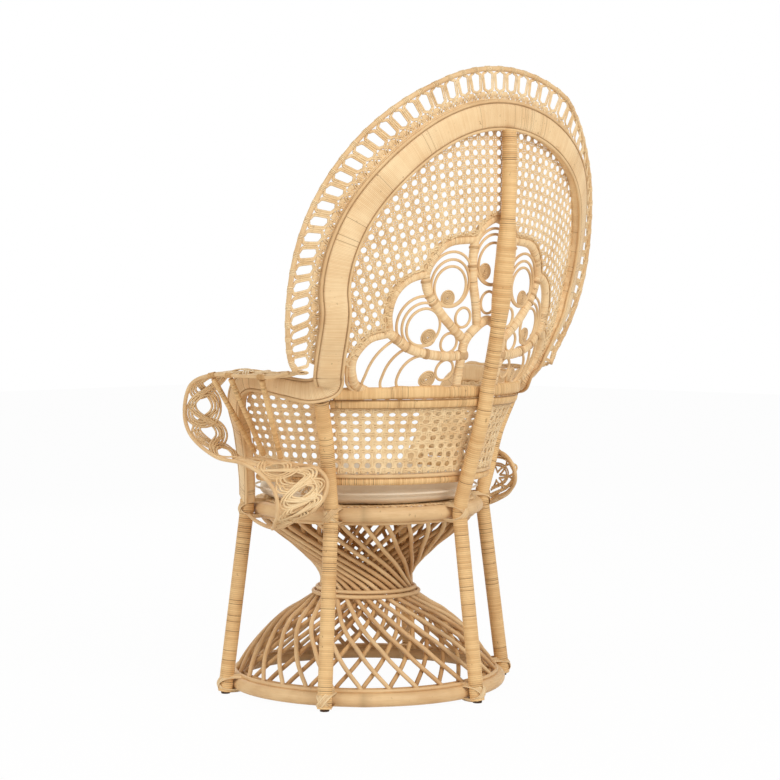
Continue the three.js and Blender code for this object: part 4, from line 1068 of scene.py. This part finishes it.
lobe_d = [(-0.207, 0.8813), (-0.132, 0.9545), (0, 1), (0.132, 0.9545), (0.207, 0.8813)]
arch = [(-0.2, 0.0227), (-0.207, 0.2197), (-0.2, 0.298), (-0.132, 0.3636), (0, 0.4192),
        (0.132, 0.3636), (0.2, 0.298), (0.207, 0.2197), (0.2, 0.0227)]
# rows: the place where the bends meet, the middle of the coil, the way they face, radii of the bends
scrolls = [(0.404, 0.0732, 0.457, 0.0859, 20, (0.248, 0.188, 0.132)),
           (0.486, 0.2904, 0.524, 0.3232, 53, (0.182, 0.154, 0.129)),
           (0.389, 0.4899, 0.408, 0.5429, 90, (0.195, 0.165, 0.138)),
           (0, 0.6136, 0.082, 0.697, 90, (0.204, 0.18, 0.147))]
# rows: a small ring inside each lobe, and its radius
small_rings = [(0.329, 0.1364, 0.072), (0.339, 0.2904, 0.069), (0.245, 0.4343, 0.069),
               (0.006, 0.5202, 0.078)]


def on_medallion(x, z, lift=0.0):
    return on_back(x, z) + [0, -medallion_inset, 0] + back_facing(x, z) * lift


def flat_place(row, mirror=1):
    """A place in the flat drawing of the medallion, from shares of its half width and rise."""
    return np.array([mirror * row[0] * medallion_half_width, rail_height + row[1] * medallion_rise])


def both_sides(lines):
    return [np.array([flat_place(row, mirror) for row in rows]) for rows in lines for mirror in (1, -1)]


track_steps = 120
outer_poles = both_sides(outer_lines.values()) + [np.array([flat_place(row) for row in lobe_d])]
inner_poles = both_sides(stem_lines.values()) + [np.array([flat_place(row) for row in arch])]
pole_runs = [smooth_line(rows, track_steps) for rows in outer_poles + inner_poles]
pole_track = np.concatenate(pole_runs)
pole_way = np.concatenate([unit(np.gradient(rows, axis=0)) for rows in pole_runs])
outline_track = pole_track[:track_steps * len(outer_poles)]
edge_rod = 7 * mm
edge_lift = 7.6 * mm
pole_wrap = 3.6 * mm
bend_gap = 2 * mm
small_ring_drop = 1.5 * mm
knot_lift = 0.8 * mm
foot_bind = 3.4 * mm
foot_bind_lift = 1.1 * mm
coil_rod = 3.9 * mm
coil_rod_depth = 5.4 * mm
# A thin dark rod laid in the gaps between the coil's turns: painted shade.
coil_gap_shade = 0.8 * mm
coil_gap_shade_depth = 3 * mm
coil_lift, coil_gap_shade_lift = 0.4 * mm, 0.9 * mm
coil_turns = 4.6
coil_steps = 190


def gap_to(track, x, z):
    """How far flat places lie from a track of flat places."""
    return np.array([np.sqrt(((track - [a, b]) ** 2).sum(1).min()) for a, b in zip(x, z)])


def bind_at(stock, flat, thick, loops=2, strand=2.6 * mm):
    """A few turns of split cane round the pole nearest to a place, where a rod meets it."""
    near = int(np.argmin(((pole_track - flat) ** 2).sum(1)))
    middle = on_medallion(*pole_track[near])
    out = back_facing(*pole_track[near])
    along = unit(on_medallion(*(pole_track[near] + pole_way[near] * mm)) - middle)
    for k in range(loops):
        shift = (k - (loops - 1) / 2) * strand * 1.05
        tie_round(stock, middle + along * shift, np.cross(along, out), out, thick, 16, strand, knot_depth,
                  flat_section, 0.5 + 0.4 * random.random(), 0.3)


def bend_round(stock, centre, radius, turn, mirror, knots, lift=0.0):
    """A rod bent round the given middle: it runs both ways until it meets a pole or the rail."""
    reach = []
    offs = np.linspace(0, math.pi, 121)
    for side in (-1, 1):
        x = centre[0] + radius * np.cos(turn + side * offs)
        z = centre[1] + radius * np.sin(turn + side * offs)
        stop = (gap_to(pole_track, x, z) < medallion_pole * 0.3) | (z < rail_height + rail_width / 4)
        reach.append(side * offs[np.argmax(stop) if stop.any() else -1])
    if reach[1] - reach[0] < 0.5:
        return
    whole = reach[1] - reach[0] > math.radians(350)
    steps = max(10, int(56 * (reach[1] - reach[0]) / (2 * math.pi)))
    offs = np.linspace(reach[0], reach[1], steps + 1)[:-1 if whole else None]
    x = mirror * (centre[0] + radius * np.cos(turn + offs))
    z = centre[1] + radius * np.sin(turn + offs)
    if not whole:
        knots += [(x[0], z[0]), (x[-1], z[-1])]
    lay_round(stock, on_medallion(x, z, lift), back_facing(x, z), scroll_rod, 10, closed=whole,
              strand=0.6 * random.random())


def lay_coil(stock, centre, turn, mirror):
    """A flat coil of thin rod, with a thin dark rod laid between its turns as painted shade in the gaps."""
    angle = np.linspace(0, coil_turns * 2 * math.pi, coil_steps)
    rod = coil_rod * 0.5 + (coil_width / 2 - coil_rod) * angle / angle[-1]
    for spiral, lift, first, width, depth, sides, strand, seam in (
        (rod, coil_lift, 0, coil_rod * 0.92, coil_rod_depth, 8, 0.3, 0.0),
        # painted shade: the dark rod in the gap between the turns
        (rod - coil_rod * 0.52, coil_gap_shade_lift, 9, coil_gap_shade, coil_gap_shade_depth, 5, 0.9, 1.6),
    ):
        x = mirror * (centre[0] + spiral * np.cos(angle + turn))
        z = centre[1] + spiral * np.sin(angle + turn)
        lay(stock, on_medallion(x, z, lift)[first:], back_facing(x, z)[first:], width, depth,
            round_section(sides), strand=strand, seam=seam)


def edge_the_lobes(stock):
    """The bare rod that follows the outer side of the lobes."""
    middle = flat_place((0, 0.45))
    for rows in outer_poles:
        flat = smooth_line(rows, 70)
        along = unit(np.gradient(flat, axis=0))
        out = np.stack([along[:, 1], -along[:, 0]], 1)
        out *= np.sign(((flat - middle) * out).sum(1).mean())
        beside = flat + out * (medallion_pole * 0.53)
        line = on_medallion(beside[:, 0], beside[:, 1], edge_lift)
        lay_round(stock, line, back_facing(line[:, 0], line[:, 2]), edge_rod, 10, strand=0.25)


def build_medallion():
    stock = new_stock()
    for rows in outer_poles + inner_poles:
        flat = smooth_line(rows, 70)
        line = on_medallion(flat[:, 0], flat[:, 1])
        wind(stock, line, back_facing(line[:, 0], line[:, 2]), medallion_pole * 1.22, medallion_pole * 1.08,
             round_section(14), pole_wrap, groove=0.1)
    make_piece("medallion_poles", stock, wrapped_cane, ["medallion"])

    stock = new_stock()
    knots = []
    edge_the_lobes(stock)
    for x, z, coil_x, coil_z, degrees, radii in scrolls:
        turn = math.radians(degrees)
        way = np.array([math.cos(turn), math.sin(turn)])
        for mirror in ((1, -1) if x > 0 else (1,)):
            for k, share in enumerate(radii):
                radius = share * medallion_half_width
                centre = flat_place((x, z)) + way * (radius + k * bend_gap)
                bend_round(stock, centre, radius, turn, mirror, knots)
            lay_coil(stock, flat_place((coil_x, coil_z)), turn, mirror)
    for x, z, radius in small_rings:
        for mirror in ((1, -1) if x > 0.01 else (1,)):
            bend_round(stock, flat_place((x, z)), radius * medallion_half_width, math.pi / 2, mirror, knots,
                       lift=-small_ring_drop)
    for flat in knots:
        bind_at(stock, flat, medallion_pole * 0.6 + knot_lift)
    for mirror in (1, -1):
        for foot in (arch[-1], arch[-2]):
            bind_at(stock, flat_place(foot, mirror), medallion_pole * 0.6 + foot_bind_lift, 6, foot_bind)
    make_piece("medallion_scrolls", stock, peeled_cane)


build_medallion()


# Back rail: a stout cross bar under the medallion, wrapped upright in split cane whose turns bulge
# here and there. A second, flatter bar is bound under it over the top of the basket.
rail_inset = (rail_depth - web_thickness) / 2 + 4 * clearance
rail_wrap = 3.2 * mm
rail_rise = 3 * mm
rail_x = np.linspace(-1, 1, 240) * medallion_half_width * 0.98
rail_line = on_back(rail_x, rail_height + rail_rise + 0 * rail_x) + [0, -rail_inset, 0]
bulge_rise, bulge_width, bulge_depth = 2 * mm, 5 * mm, 3 * mm
bulges = np.repeat([random.random() for _ in range(24)], 10)
bulges = np.convolve(np.pad(bulges, 2, mode="edge"), np.full(5, 0.2), mode="valid")
stock = new_stock()
wind(stock, rail_line + np.outer(bulges, [0, 0, bulge_rise]), back_facing(rail_x, rail_height + 0 * rail_x),
     rail_width + bulge_width * bulges, rail_depth + bulge_depth * bulges, band_section(16, 3.2), rail_wrap,
     groove=0.08, vary=0.6, slack=0.1)
make_piece("back_rail_wrapped", stock, bound_cane, ["back_rail"])


# Webbing of the back: split cane in an open weave between the rim and the medallion. Straight strands
# and pairs that draw together between the holes leave arched rows of round holes.
web_middle = 270 * mm
web_top_ring = 1028 * mm
web_row = 20.8 * mm
web_column = 0.0264
web_strand = 2.9 * mm
web_depth = 1.6 * mm
web_flattened = 1.3 * mm
web_pair_off = 1.6 * mm
web_tuck = 3.6 * mm
web_tuck_reach = 14 * mm
web_under_rim = 4 * mm
back_upright_pull = (4.6 * mm, 8.4 * mm)
back_level_pull = (2.5 * mm, 6.6 * mm)
upright_wave = 0.8 * mm
level_wave = 0.9 * mm
web_rings = web_top_ring + web_row * (1.5 - np.arange(30))
# rows: the side of its line on which a strand lies, whether it is drawn, and its turn to pass under
upright_strands = ((-1, False, 0), (1, False, 1), (-1, True, 0), (1, True, 1))
level_strands = ((0, False, 0), (-1, True, 1), (1, True, 0))


def lay_runs(stock, rows, facing, good, width, strand):
    """Lays the stretches of one strand that lie where they should."""
    edge = np.flatnonzero(np.diff(np.concatenate([[False], good, [False]]).astype(int)))
    for start, end in zip(edge[::2], edge[1::2]):
        if end - start > 2:
            lay(stock, rows[start:end], facing[start:end], width[start:end], web_depth, flat_five,
                strand=strand)


def within(outline, x, z):
    """True where the flat places lie within the outline."""
    x0, z0 = outline[:, 0], outline[:, 1]
    x1, z1 = np.roll(x0, -1), np.roll(z0, -1)
    crossing = (z0[None, :] > z[:, None]) != (z1[None, :] > z[:, None])
    with np.errstate(divide="ignore", invalid="ignore"):
        meets = (x1 - x0)[None, :] * (z[:, None] - z0[None, :]) / (z1 - z0)[None, :] + x0[None, :]
    return (crossing & (x[:, None] < meets)).sum(1) % 2 == 1


def pulled(phase, close, apart):
    """How far a drawn strand stands off its line: close beside a hole, apart where it cuts a corner."""
    return close + (apart - close) * (0.5 + 0.5 * np.cos(phase)) ** 1.1


def parted(phase, drawn):
    """Width of a strand: a drawn one lies flatter and wider where it parts from its pair."""
    return web_strand + (web_flattened * (0.5 + 0.5 * np.cos(phase)) if drawn else 0 * phase)


def weave_the_back():
    right = [smooth_line(rows, 40) for rows in outer_poles[0:-1:2]]
    left = [rows[::-1] * [-1, 1] for rows in reversed(right)]
    outline = np.concatenate(right + [smooth_line(outer_poles[-1], 40)[::-1]] + left)
    _, centres, _, side, width = rim_frame(1 - arm_start - 0.5 / rim_spans, arm_start + 0.5 / rim_spans, 400)
    rim_outline = (centres - side * (width[:, None] / 2 - web_under_rim))[:, [0, 2]]

    def strand_at(stock, turn, rho, lift, width):
        x, z = rho * np.sin(turn), web_middle + rho * np.cos(turn)
        keep = np.abs(x) < 1.1 * back_half_width
        x, z, lift, width = x[keep], z[keep], lift[keep], width[keep]
        gap = gap_to(outline_track, x, z)
        good = within(rim_outline, x, z) & ~within(outline, x, z)
        good &= (z > rail_height) & (gap > 0.4 * medallion_pole)
        near = np.clip(1.6 - gap / web_tuck_reach, 0, 1)
        facing = back_facing(x, z)
        lay_runs(stock, on_back(x, z) + facing * (lift - web_tuck * near)[:, None], facing, good, width,
                 0.2 + 0.6 * random.random())

    for side_name, columns, low, high in (
        ("right", range(-25, 0), -25, -0.02),
        ("left", range(0, 26), 0.02, 25),
    ):
        stock = new_stock()
        rho = np.arange(web_rings[-1], web_rings[0] + 1 * mm, web_row / 6)
        phase = 2 * math.pi * (rho - web_rings[0]) / web_row
        for column in columns:
            for place, drawn, odd in upright_strands:
                off = pulled(phase, *back_upright_pull) if drawn else web_pair_off
                lift = upright_wave * np.cos(phase / 2 + math.pi * (odd + column))
                turn = column * web_column + place * off / web_top_ring
                strand_at(stock, turn, rho, lift, parted(phase, drawn))
        make_piece("back_webbing_uprights_" + side_name, stock, split_cane,
                   ["back_webbing"] if side_name == "left" else [])
        stock = new_stock()
        share = np.linspace(low, high, int((high - low) * 7))
        phase = 2 * math.pi * share
        for ring in web_rings:
            for place, drawn, odd in level_strands:
                off = pulled(phase, *back_level_pull) if drawn else 0 * share
                lift = level_wave * np.cos(phase + math.pi * odd)
                strand_at(stock, share * web_column, ring + place * off, lift, parted(phase, drawn))
        make_piece("back_webbing_arches_" + side_name, stock, split_cane)


weave_the_back()


# Basket: the same weave runs round the seat on a flared wall, from front post to front post.
# A thin rod closes its lower edge, on a stouter wrapped hoop that is tied inside the legs.
basket_rows = np.array([695.5, 677, 659.5, 641.5, 622.5, 603, 584, 562, 541]) * mm
basket_column = 0.0805
basket_hole = 0.713
basket_middle_radius = 335 * mm
basket_bottom = 529 * mm
basket_widest = 1.9
basket_upright_pull = (4.1 * mm, 7.6 * mm)
basket_level_pull = (2.4 * mm, 6 * mm)
basket_row_above = 19 * mm
basket_step = 3.2 * mm
basket_overrun = 3 * mm
post_gap = 1.8 * mm
rim_gap = 0.9 * mm
track_shares = np.linspace(seam_share, 1, 81)
track_rows = rim_line(seam_share, 1, 81)
track_turn = np.arctan2(track_rows[:, 0], track_rows[:, 1] - axis_y)
track_width = rim_width_at(track_shares)


def post_angle(height):
    """How far round the webbing runs at a height: up to the arm's front post."""
    rows = track_turn > math.pi / 2
    order = np.argsort(track_rows[rows, 2])
    radius = np.hypot(track_rows[rows, 0], track_rows[rows, 1] - axis_y)
    turn = track_turn[rows] - (arm_rim_width / 2 + post_gap) / radius
    return np.interp(height, track_rows[rows, 2][order], turn[order])


def basket_upper(turn):
    """How high the webbing runs at a turn: up to the back rail or the arm's rim."""
    under_rail = rail_height - rail_width / 2 - rim_gap
    rows = track_rows[:, 2] > rail_height - rail_width
    under_rim = track_rows[rows, 2] - track_width[rows] / 2 - rim_gap
    order = np.argsort(track_turn[rows])
    rim = np.interp(np.abs(turn), track_turn[rows][order], under_rim[order])
    return np.where(np.abs(turn) < track_turn[rows][order][0], under_rail, np.maximum(under_rail, rim))


def on_basket(turn, height, lift):
    """Places on the basket's flared wall, lifted off it, and the way the wall faces there."""
    height = height + 0 * turn
    flare = (basket_radius(height + mm) - basket_radius(height - mm)) / (2 * mm)
    facing = unit(np.stack([np.sin(turn), np.cos(turn), -flare], 1))
    return around(turn, basket_radius(height) + lift, height), facing


def weave_the_basket():
    def strand_at(stock, turn, height, lift, width):
        good = (np.abs(turn) < post_angle(height) + 0.012) & (height < basket_upper(turn) + basket_overrun)
        good &= height > basket_bottom
        rows, facing = on_basket(turn, height, lift)
        lay_runs(stock, rows, facing, good, 1.5 * width, 0.2 + 0.6 * random.random())

    rows = np.concatenate([basket_rows[0] + basket_row_above * np.arange(4, 0, -1), basket_rows])
    height = np.arange(basket_bottom, rows[0], basket_step)
    phase = 2 * math.pi * np.interp(height, rows[::-1], np.arange(len(rows))[::-1])
    columns = [basket_hole + basket_column * (k + 0.5) for k in range(-36, 20)]
    for name, low, high in (("right", -basket_widest, 0.0), ("left", 0.0, basket_widest)):
        stock = new_stock()
        for number, column in enumerate(columns):
            if (column < 0) != (name == "right"):
                continue
            for place, drawn, odd in upright_strands:
                off = pulled(phase, *basket_upright_pull) if drawn else web_pair_off
                lift = upright_wave * np.cos(phase / 2 + math.pi * (odd + number))
                strand_at(stock, column + place * off / basket_middle_radius + 0 * height, height, lift,
                          parted(phase, drawn))
        turn = np.arange(low, high, basket_column / 7)
        level_phase = 2 * math.pi * (turn - basket_hole - basket_column / 2) / basket_column
        for row in rows:
            for place, drawn, odd in level_strands:
                off = pulled(level_phase, *basket_level_pull) if drawn else 0 * turn
                strand_at(stock, turn, row + place * off, level_wave * np.cos(level_phase + math.pi * odd),
                          parted(level_phase, drawn))
        make_piece("basket_weave_" + name, stock, split_cane,
                   ["basket_webbing"] if name == "left" else [])


weave_the_basket()
bar_width, bar_depth = 19 * mm, 13 * mm
bar_turn = np.linspace(-1.03, 1.03, 260)
bar_height = rail_height - rail_width / 2 - 7.5 * mm
# rows: how far a cord lies below the bar's middle, how far out, its thickness
bar_cords = ((9.5 * mm, 6 * mm, 3 * mm), (-9 * mm, 7.5 * mm, 2.4 * mm))
bar_line, bar_facing = on_basket(bar_turn, bar_height, 2.5 * mm)
stock = new_stock()
wind(stock, bar_line, bar_facing, bar_width, bar_depth, band_section(16, 3.0), rail_wrap, groove=0.09,
     vary=0.6, slack=0.08)
for drop, lift, thick in bar_cords:
    cord_line, cord_facing = on_basket(bar_turn, bar_height - drop, lift)
    lay_round(stock, cord_line, cord_facing, thick, 8, strand=0.6, seam=1.0)
make_piece("basket_top_bar_wrapped", stock, bound_cane)


def basket_edge(node, thick):
    """The line of a rod or hoop under the webbing, from front post to front post."""
    low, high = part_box(node)
    height = (low.z + high.z) / 2
    turns = post_angle(height) * np.linspace(-1, 1, 200)
    return around(turns, basket_radius(height) + (web_thickness - thick) / 2, height)


basket_rod = 10 * mm
basket_hoop = 18 * mm
hoop_wrap = 4.2 * mm
line = basket_edge("basket_rod", basket_rod)
bare_rod("basket_rod_cane", line, out_from_axis(line), basket_rod, 0.4, "basket_rod")
line = basket_edge("basket_hoop", basket_hoop)
stock = new_stock()
wind(stock, line, out_from_axis(line), basket_hoop, basket_hoop, round_section(14), hoop_wrap)
make_piece("basket_hoop_wrapped", stock, bound_cane, ["basket_hoop"])


# Arms: a ruffle of looped split cane rolls over each arm, turns down in front and curls back under it.
# A thin rod edges it on both sides, more strands fill its rolled end, and three struts carry it.
ruffle_half_width = 456 * mm
arm_rod = 9 * mm
strut_pole = 10 * mm
lace_thickness = 5 * mm
rim_top_share = (arm_height + (arm_rim_width + lace_thickness) / 2 + 2 * clearance) / arm_height
ruffle_inner_shares = [
    (1.075, 0.9, 1.036), (1.05, 0.7, 1.03), (1.03, 0.45, rim_top_share), (1.02, 0.19, rim_top_share),
    (1.058, -0.1, rim_top_share),
    (1.05, -0.33, 0.985), (0.985, -0.42, 0.9), (0.93, -0.43, 0.82), (0.925, -0.3, 0.77),
    (0.905, 0.05, 0.756), (0.88, 0.38, 0.748), (0.866, 0.652, 0.738), (0.868, 0.773, 0.702),
    (0.898, 0.769, 0.653), (0.925, 0.664, 0.614), (0.925, 0.45, 0.582), (0.915, 0.28, 0.558)]
ruffle_outer_shares = [
    (0.985, 0.8, 1.035), (0.991, 0.607, 1.021), (1, 0.36, 1.021), (1, 0.12, 1.021), (0.995, -0.2, 1.02),
    (0.984, -0.51, 0.985), (0.98, -0.6, 0.9), (0.976, -0.53, 0.835), (0.965, -0.2, 0.77),
    (0.947, 0.1, 0.756), (0.923, 0.255, 0.735), (0.912, 0.453, 0.686), (0.905, 0.5, 0.645),
    (0.885, 0.46, 0.6), (0.855, 0.37, 0.575), (0.81, 0.27, 0.557), (0.785, 0.2, 0.55)]
strut_shares = [((0.998, -0.17, 1.014), (0.915, -0.1, 0.774)), ((0.996, 0.06, 1.015), (0.9, 0, 0.767)),
                ((0.994, 0.47, 1.015), (0.888, 0.2, 0.76))]
tail_shares = [(0.86, 0.02, 0.545), (0.8, -0.28, 0.556), (0.775, -0.42, 0.572)]
ruffle_steps = 400
ring_half_length = 39 * mm
ring_spacing = 60 * mm
ruffle_strand = 5.6 * mm
loop_depth = 3.6 * mm
wave_depth = 3.4 * mm
roll_starts = 15 * mm
roll_x = 345 * mm
roll_drop = 14 * mm
roll_strand = 5 * mm
roll_wave_strand = 5.4 * mm
roll_depth = 3 * mm
strut_wrap = 3.6 * mm
strut_tie = 3.1 * mm
strut_tie_depth = 1.8 * mm
strut_tie_step = 3.2 * mm
strut_tie_lift = 1 * mm


def lace_the_ruffle(stock, inner_line, outer_line, mirror):
    """Nested loops of split cane between two lines, and bands of three that cross in waves."""
    across = unit(outer_line - inner_line)
    normal = unit(np.cross(np.gradient(inner_line + outer_line, axis=0), across)) * mirror
    grid = np.linspace(0, 1, ruffle_steps)

    def on_ruffle(u, v, lift):
        u = np.clip(u, 0, 1)
        inner, outer = look_up(u, grid, inner_line), look_up(u, grid, outer_line)
        facing = unit(look_up(u, grid, normal))
        return inner + (outer - inner) * v[:, None] + facing * lift[:, None], facing

    length = np.linalg.norm(np.diff((inner_line + outer_line) / 2, axis=0), axis=1).sum()
    ring_half, ring_step = ring_half_length / length, ring_spacing / length
    a = circle(44)
    for number in range(int((1 - 2 * ring_half) / ring_step) + 1):
        middle = ring_half + number * ring_step
        wobble = 0.94 + 0.12 * random.random()
        for nest, spare in enumerate((1.0, 0.84, 0.68)):
            u = middle + ring_half * (spare * wobble * np.cos(a) + 0.25 * np.sin(a))
            lift = (2.3 * np.cos(2 * a + math.pi * (number % 2)) + 0.4 * nest) * mm
            rows, facing = on_ruffle(u, 0.5 + 0.455 * spare * np.sin(a), lift)
            lay_flat(stock, rows, facing, ruffle_strand, loop_depth, 0.2, 0.6, closed=True)
    t = np.linspace(0, 1, 420)
    for way in (-1, 1):
        for shift in (-0.085, 0.0, 0.085):
            swing = way * np.sin(math.pi * t / ring_step)
            lift = way * wave_depth * np.cos(2 * math.pi * t / ring_step)
            rows, facing = on_ruffle(t, 0.5 + 0.3 * swing + shift, lift)
            lay_flat(stock, rows, facing, ruffle_strand, wave_depth, 0.3, 0.5)


def fill_the_roll(stock, scroll, mirror):
    """Strands that follow the rolled end of the ruffle within itself, two of them in waves."""
    curl = scroll[scroll[:, 1] > roll_starts]
    curl[:, 0] = mirror * roll_x
    hub = (curl.min(0) + curl.max(0)) / 2 - [0, roll_drop, 0]
    for share in (0.8, 0.72, 0.5, 0.42):
        lay_flat(stock, hub + (curl - hub) * share, (mirror, 0, 0), roll_strand, roll_depth, 0.2, 0.6)
    t = np.linspace(0, 1, len(curl))
    for way in (-1, 1):
        rows = hub + (curl - hub) * (0.52 + way * 0.36 * np.sin(4 * math.pi * t))[:, None]
        rows[:, 0] += way * roll_depth * np.cos(5 * math.pi * t)
        lay_flat(stock, rows, (mirror, 0, 0), roll_wave_strand, roll_depth, 0.2, 0.6)


def build_strut(node, top, foot, rod):
    """A wrapped strut, tied with seven turns of split cane to the rod that it reaches."""
    stock = new_stock()
    thick = strut_pole * 1.25
    wind(stock, np.linspace(top, foot, 24), (0, 1, 0), thick, thick, round_section(12), strut_wrap,
         keep=(0.02, 0.98))
    near = int(np.argmin(((rod - top) ** 2).sum(1)))
    way = unit(rod[min(len(rod) - 1, near + 1)] - rod[near])
    up = unit(np.cross(way, (1, 0, 0)))
    for k in range(7):
        middle = rod[near] + way * (k - 3) * strut_tie_step
        tie_round(stock, middle, up, np.cross(way, up), arm_rod / 2 + strut_tie_lift, 14, strut_tie,
                  strut_tie_depth, flat_five, 0.3 + 0.5 * random.random(), 0.12)
    make_piece(node + "_wrapped", stock, bound_cane, [node])


def build_arm(side, mirror):
    flip = np.array([mirror, 1, 1])
    inner_rows = arm_place(ruffle_inner_shares)
    outer_rows = arm_place(ruffle_outer_shares, ruffle_half_width)
    outer = smooth_line(outer_rows, 220) * flip
    node = "arm_outer_rod_" + side
    bare_rod(node + "_cane", outer, (0, 0, 1), arm_rod, 0.35, node)
    scroll_rows = np.concatenate([smooth_line(inner_rows, 65)[34:], arm_place(tail_shares)])
    scroll = smooth_line(scroll_rows, 200) * flip
    node = "arm_scroll_rod_" + side
    bare_rod(node + "_cane", scroll, (1, 0.2, 0.1), arm_rod, 0.5, node)
    stock = new_stock()
    lace_the_ruffle(stock, smooth_line(inner_rows, ruffle_steps, end=0.97) * flip,
                    smooth_line(outer_rows, ruffle_steps, end=0.97) * flip, mirror)
    fill_the_roll(stock, scroll, mirror)
    make_piece("arm_lace_" + side + "_loops", stock, split_cane, ["arm_lace_" + side])
    for number, (top, foot) in enumerate(strut_shares, 1):
        build_strut("arm_strut_%d_%s" % (number, side), arm_place(top, ruffle_half_width) * flip,
                    arm_place(foot) * flip, outer)


build_arm("left", 1)
build_arm("right", -1)


# Lashings: split cane crosses each leg in an X where it meets a ring, and goes round behind it.
lash_strand = 3.8 * mm
lash_depth = 1.7 * mm
lash_lift = 1.2 * mm
lash_layer = 1.5 * mm
lash_turns = 4
base_lash_rise = 3 * mm


def lash(stock, centre, out, side, tall, deep):
    """Loops that lie on the slant both ways round a leg and the ring behind it."""
    up = np.array([0.0, 0.0, 1.0])
    turns = circle(30)[:, None]
    c, s = np.cos(turns), np.sin(turns)
    for layer, way in enumerate((1, -1)):
        slant = unit(side * way * 0.82 + up)
        across = unit(side * way - up * 0.82)
        grow = lash_lift + layer * lash_layer
        a = np.sign(c) * np.abs(c) ** 0.75 * (tall + grow)
        b = np.sign(s) * np.abs(s) ** 0.75 * (deep + grow)
        for k in range(lash_turns):
            loop = centre + across * (k - (lash_turns - 1) / 2) * lash_strand * 0.98 + a * slant + b * out
            lay(stock, loop, unit(c * slant * 0.9 + s * out), lash_strand, lash_depth, flat_section,
                closed=True, strand=random.random(), seam=0.12)


stock = new_stock()
for turn in [*leg_turns.values(), 0.0]:
    angle = math.radians(turn)
    out = np.array([math.sin(angle), math.cos(angle), 0])
    side = np.array([math.cos(angle), -math.sin(angle), 0])
    for ring_radius, ring_pole, height, leg_radius in (
        (base_ring_radius, base_pole, base_ring_height + base_lash_rise, leg_at_base),
        (seat_ring_radius, seat_pole, seat_ring_height, leg_at_seat),
    ):
        outer = leg_radius + leg_pole / 2
        inner = ring_radius - ring_pole / 2
        centre = around(angle, (outer + inner) / 2, height)
        lash(stock, centre, out, side, ring_pole * 0.66, (outer - inner) / 2)
make_piece("leg_lashings", stock, split_cane)
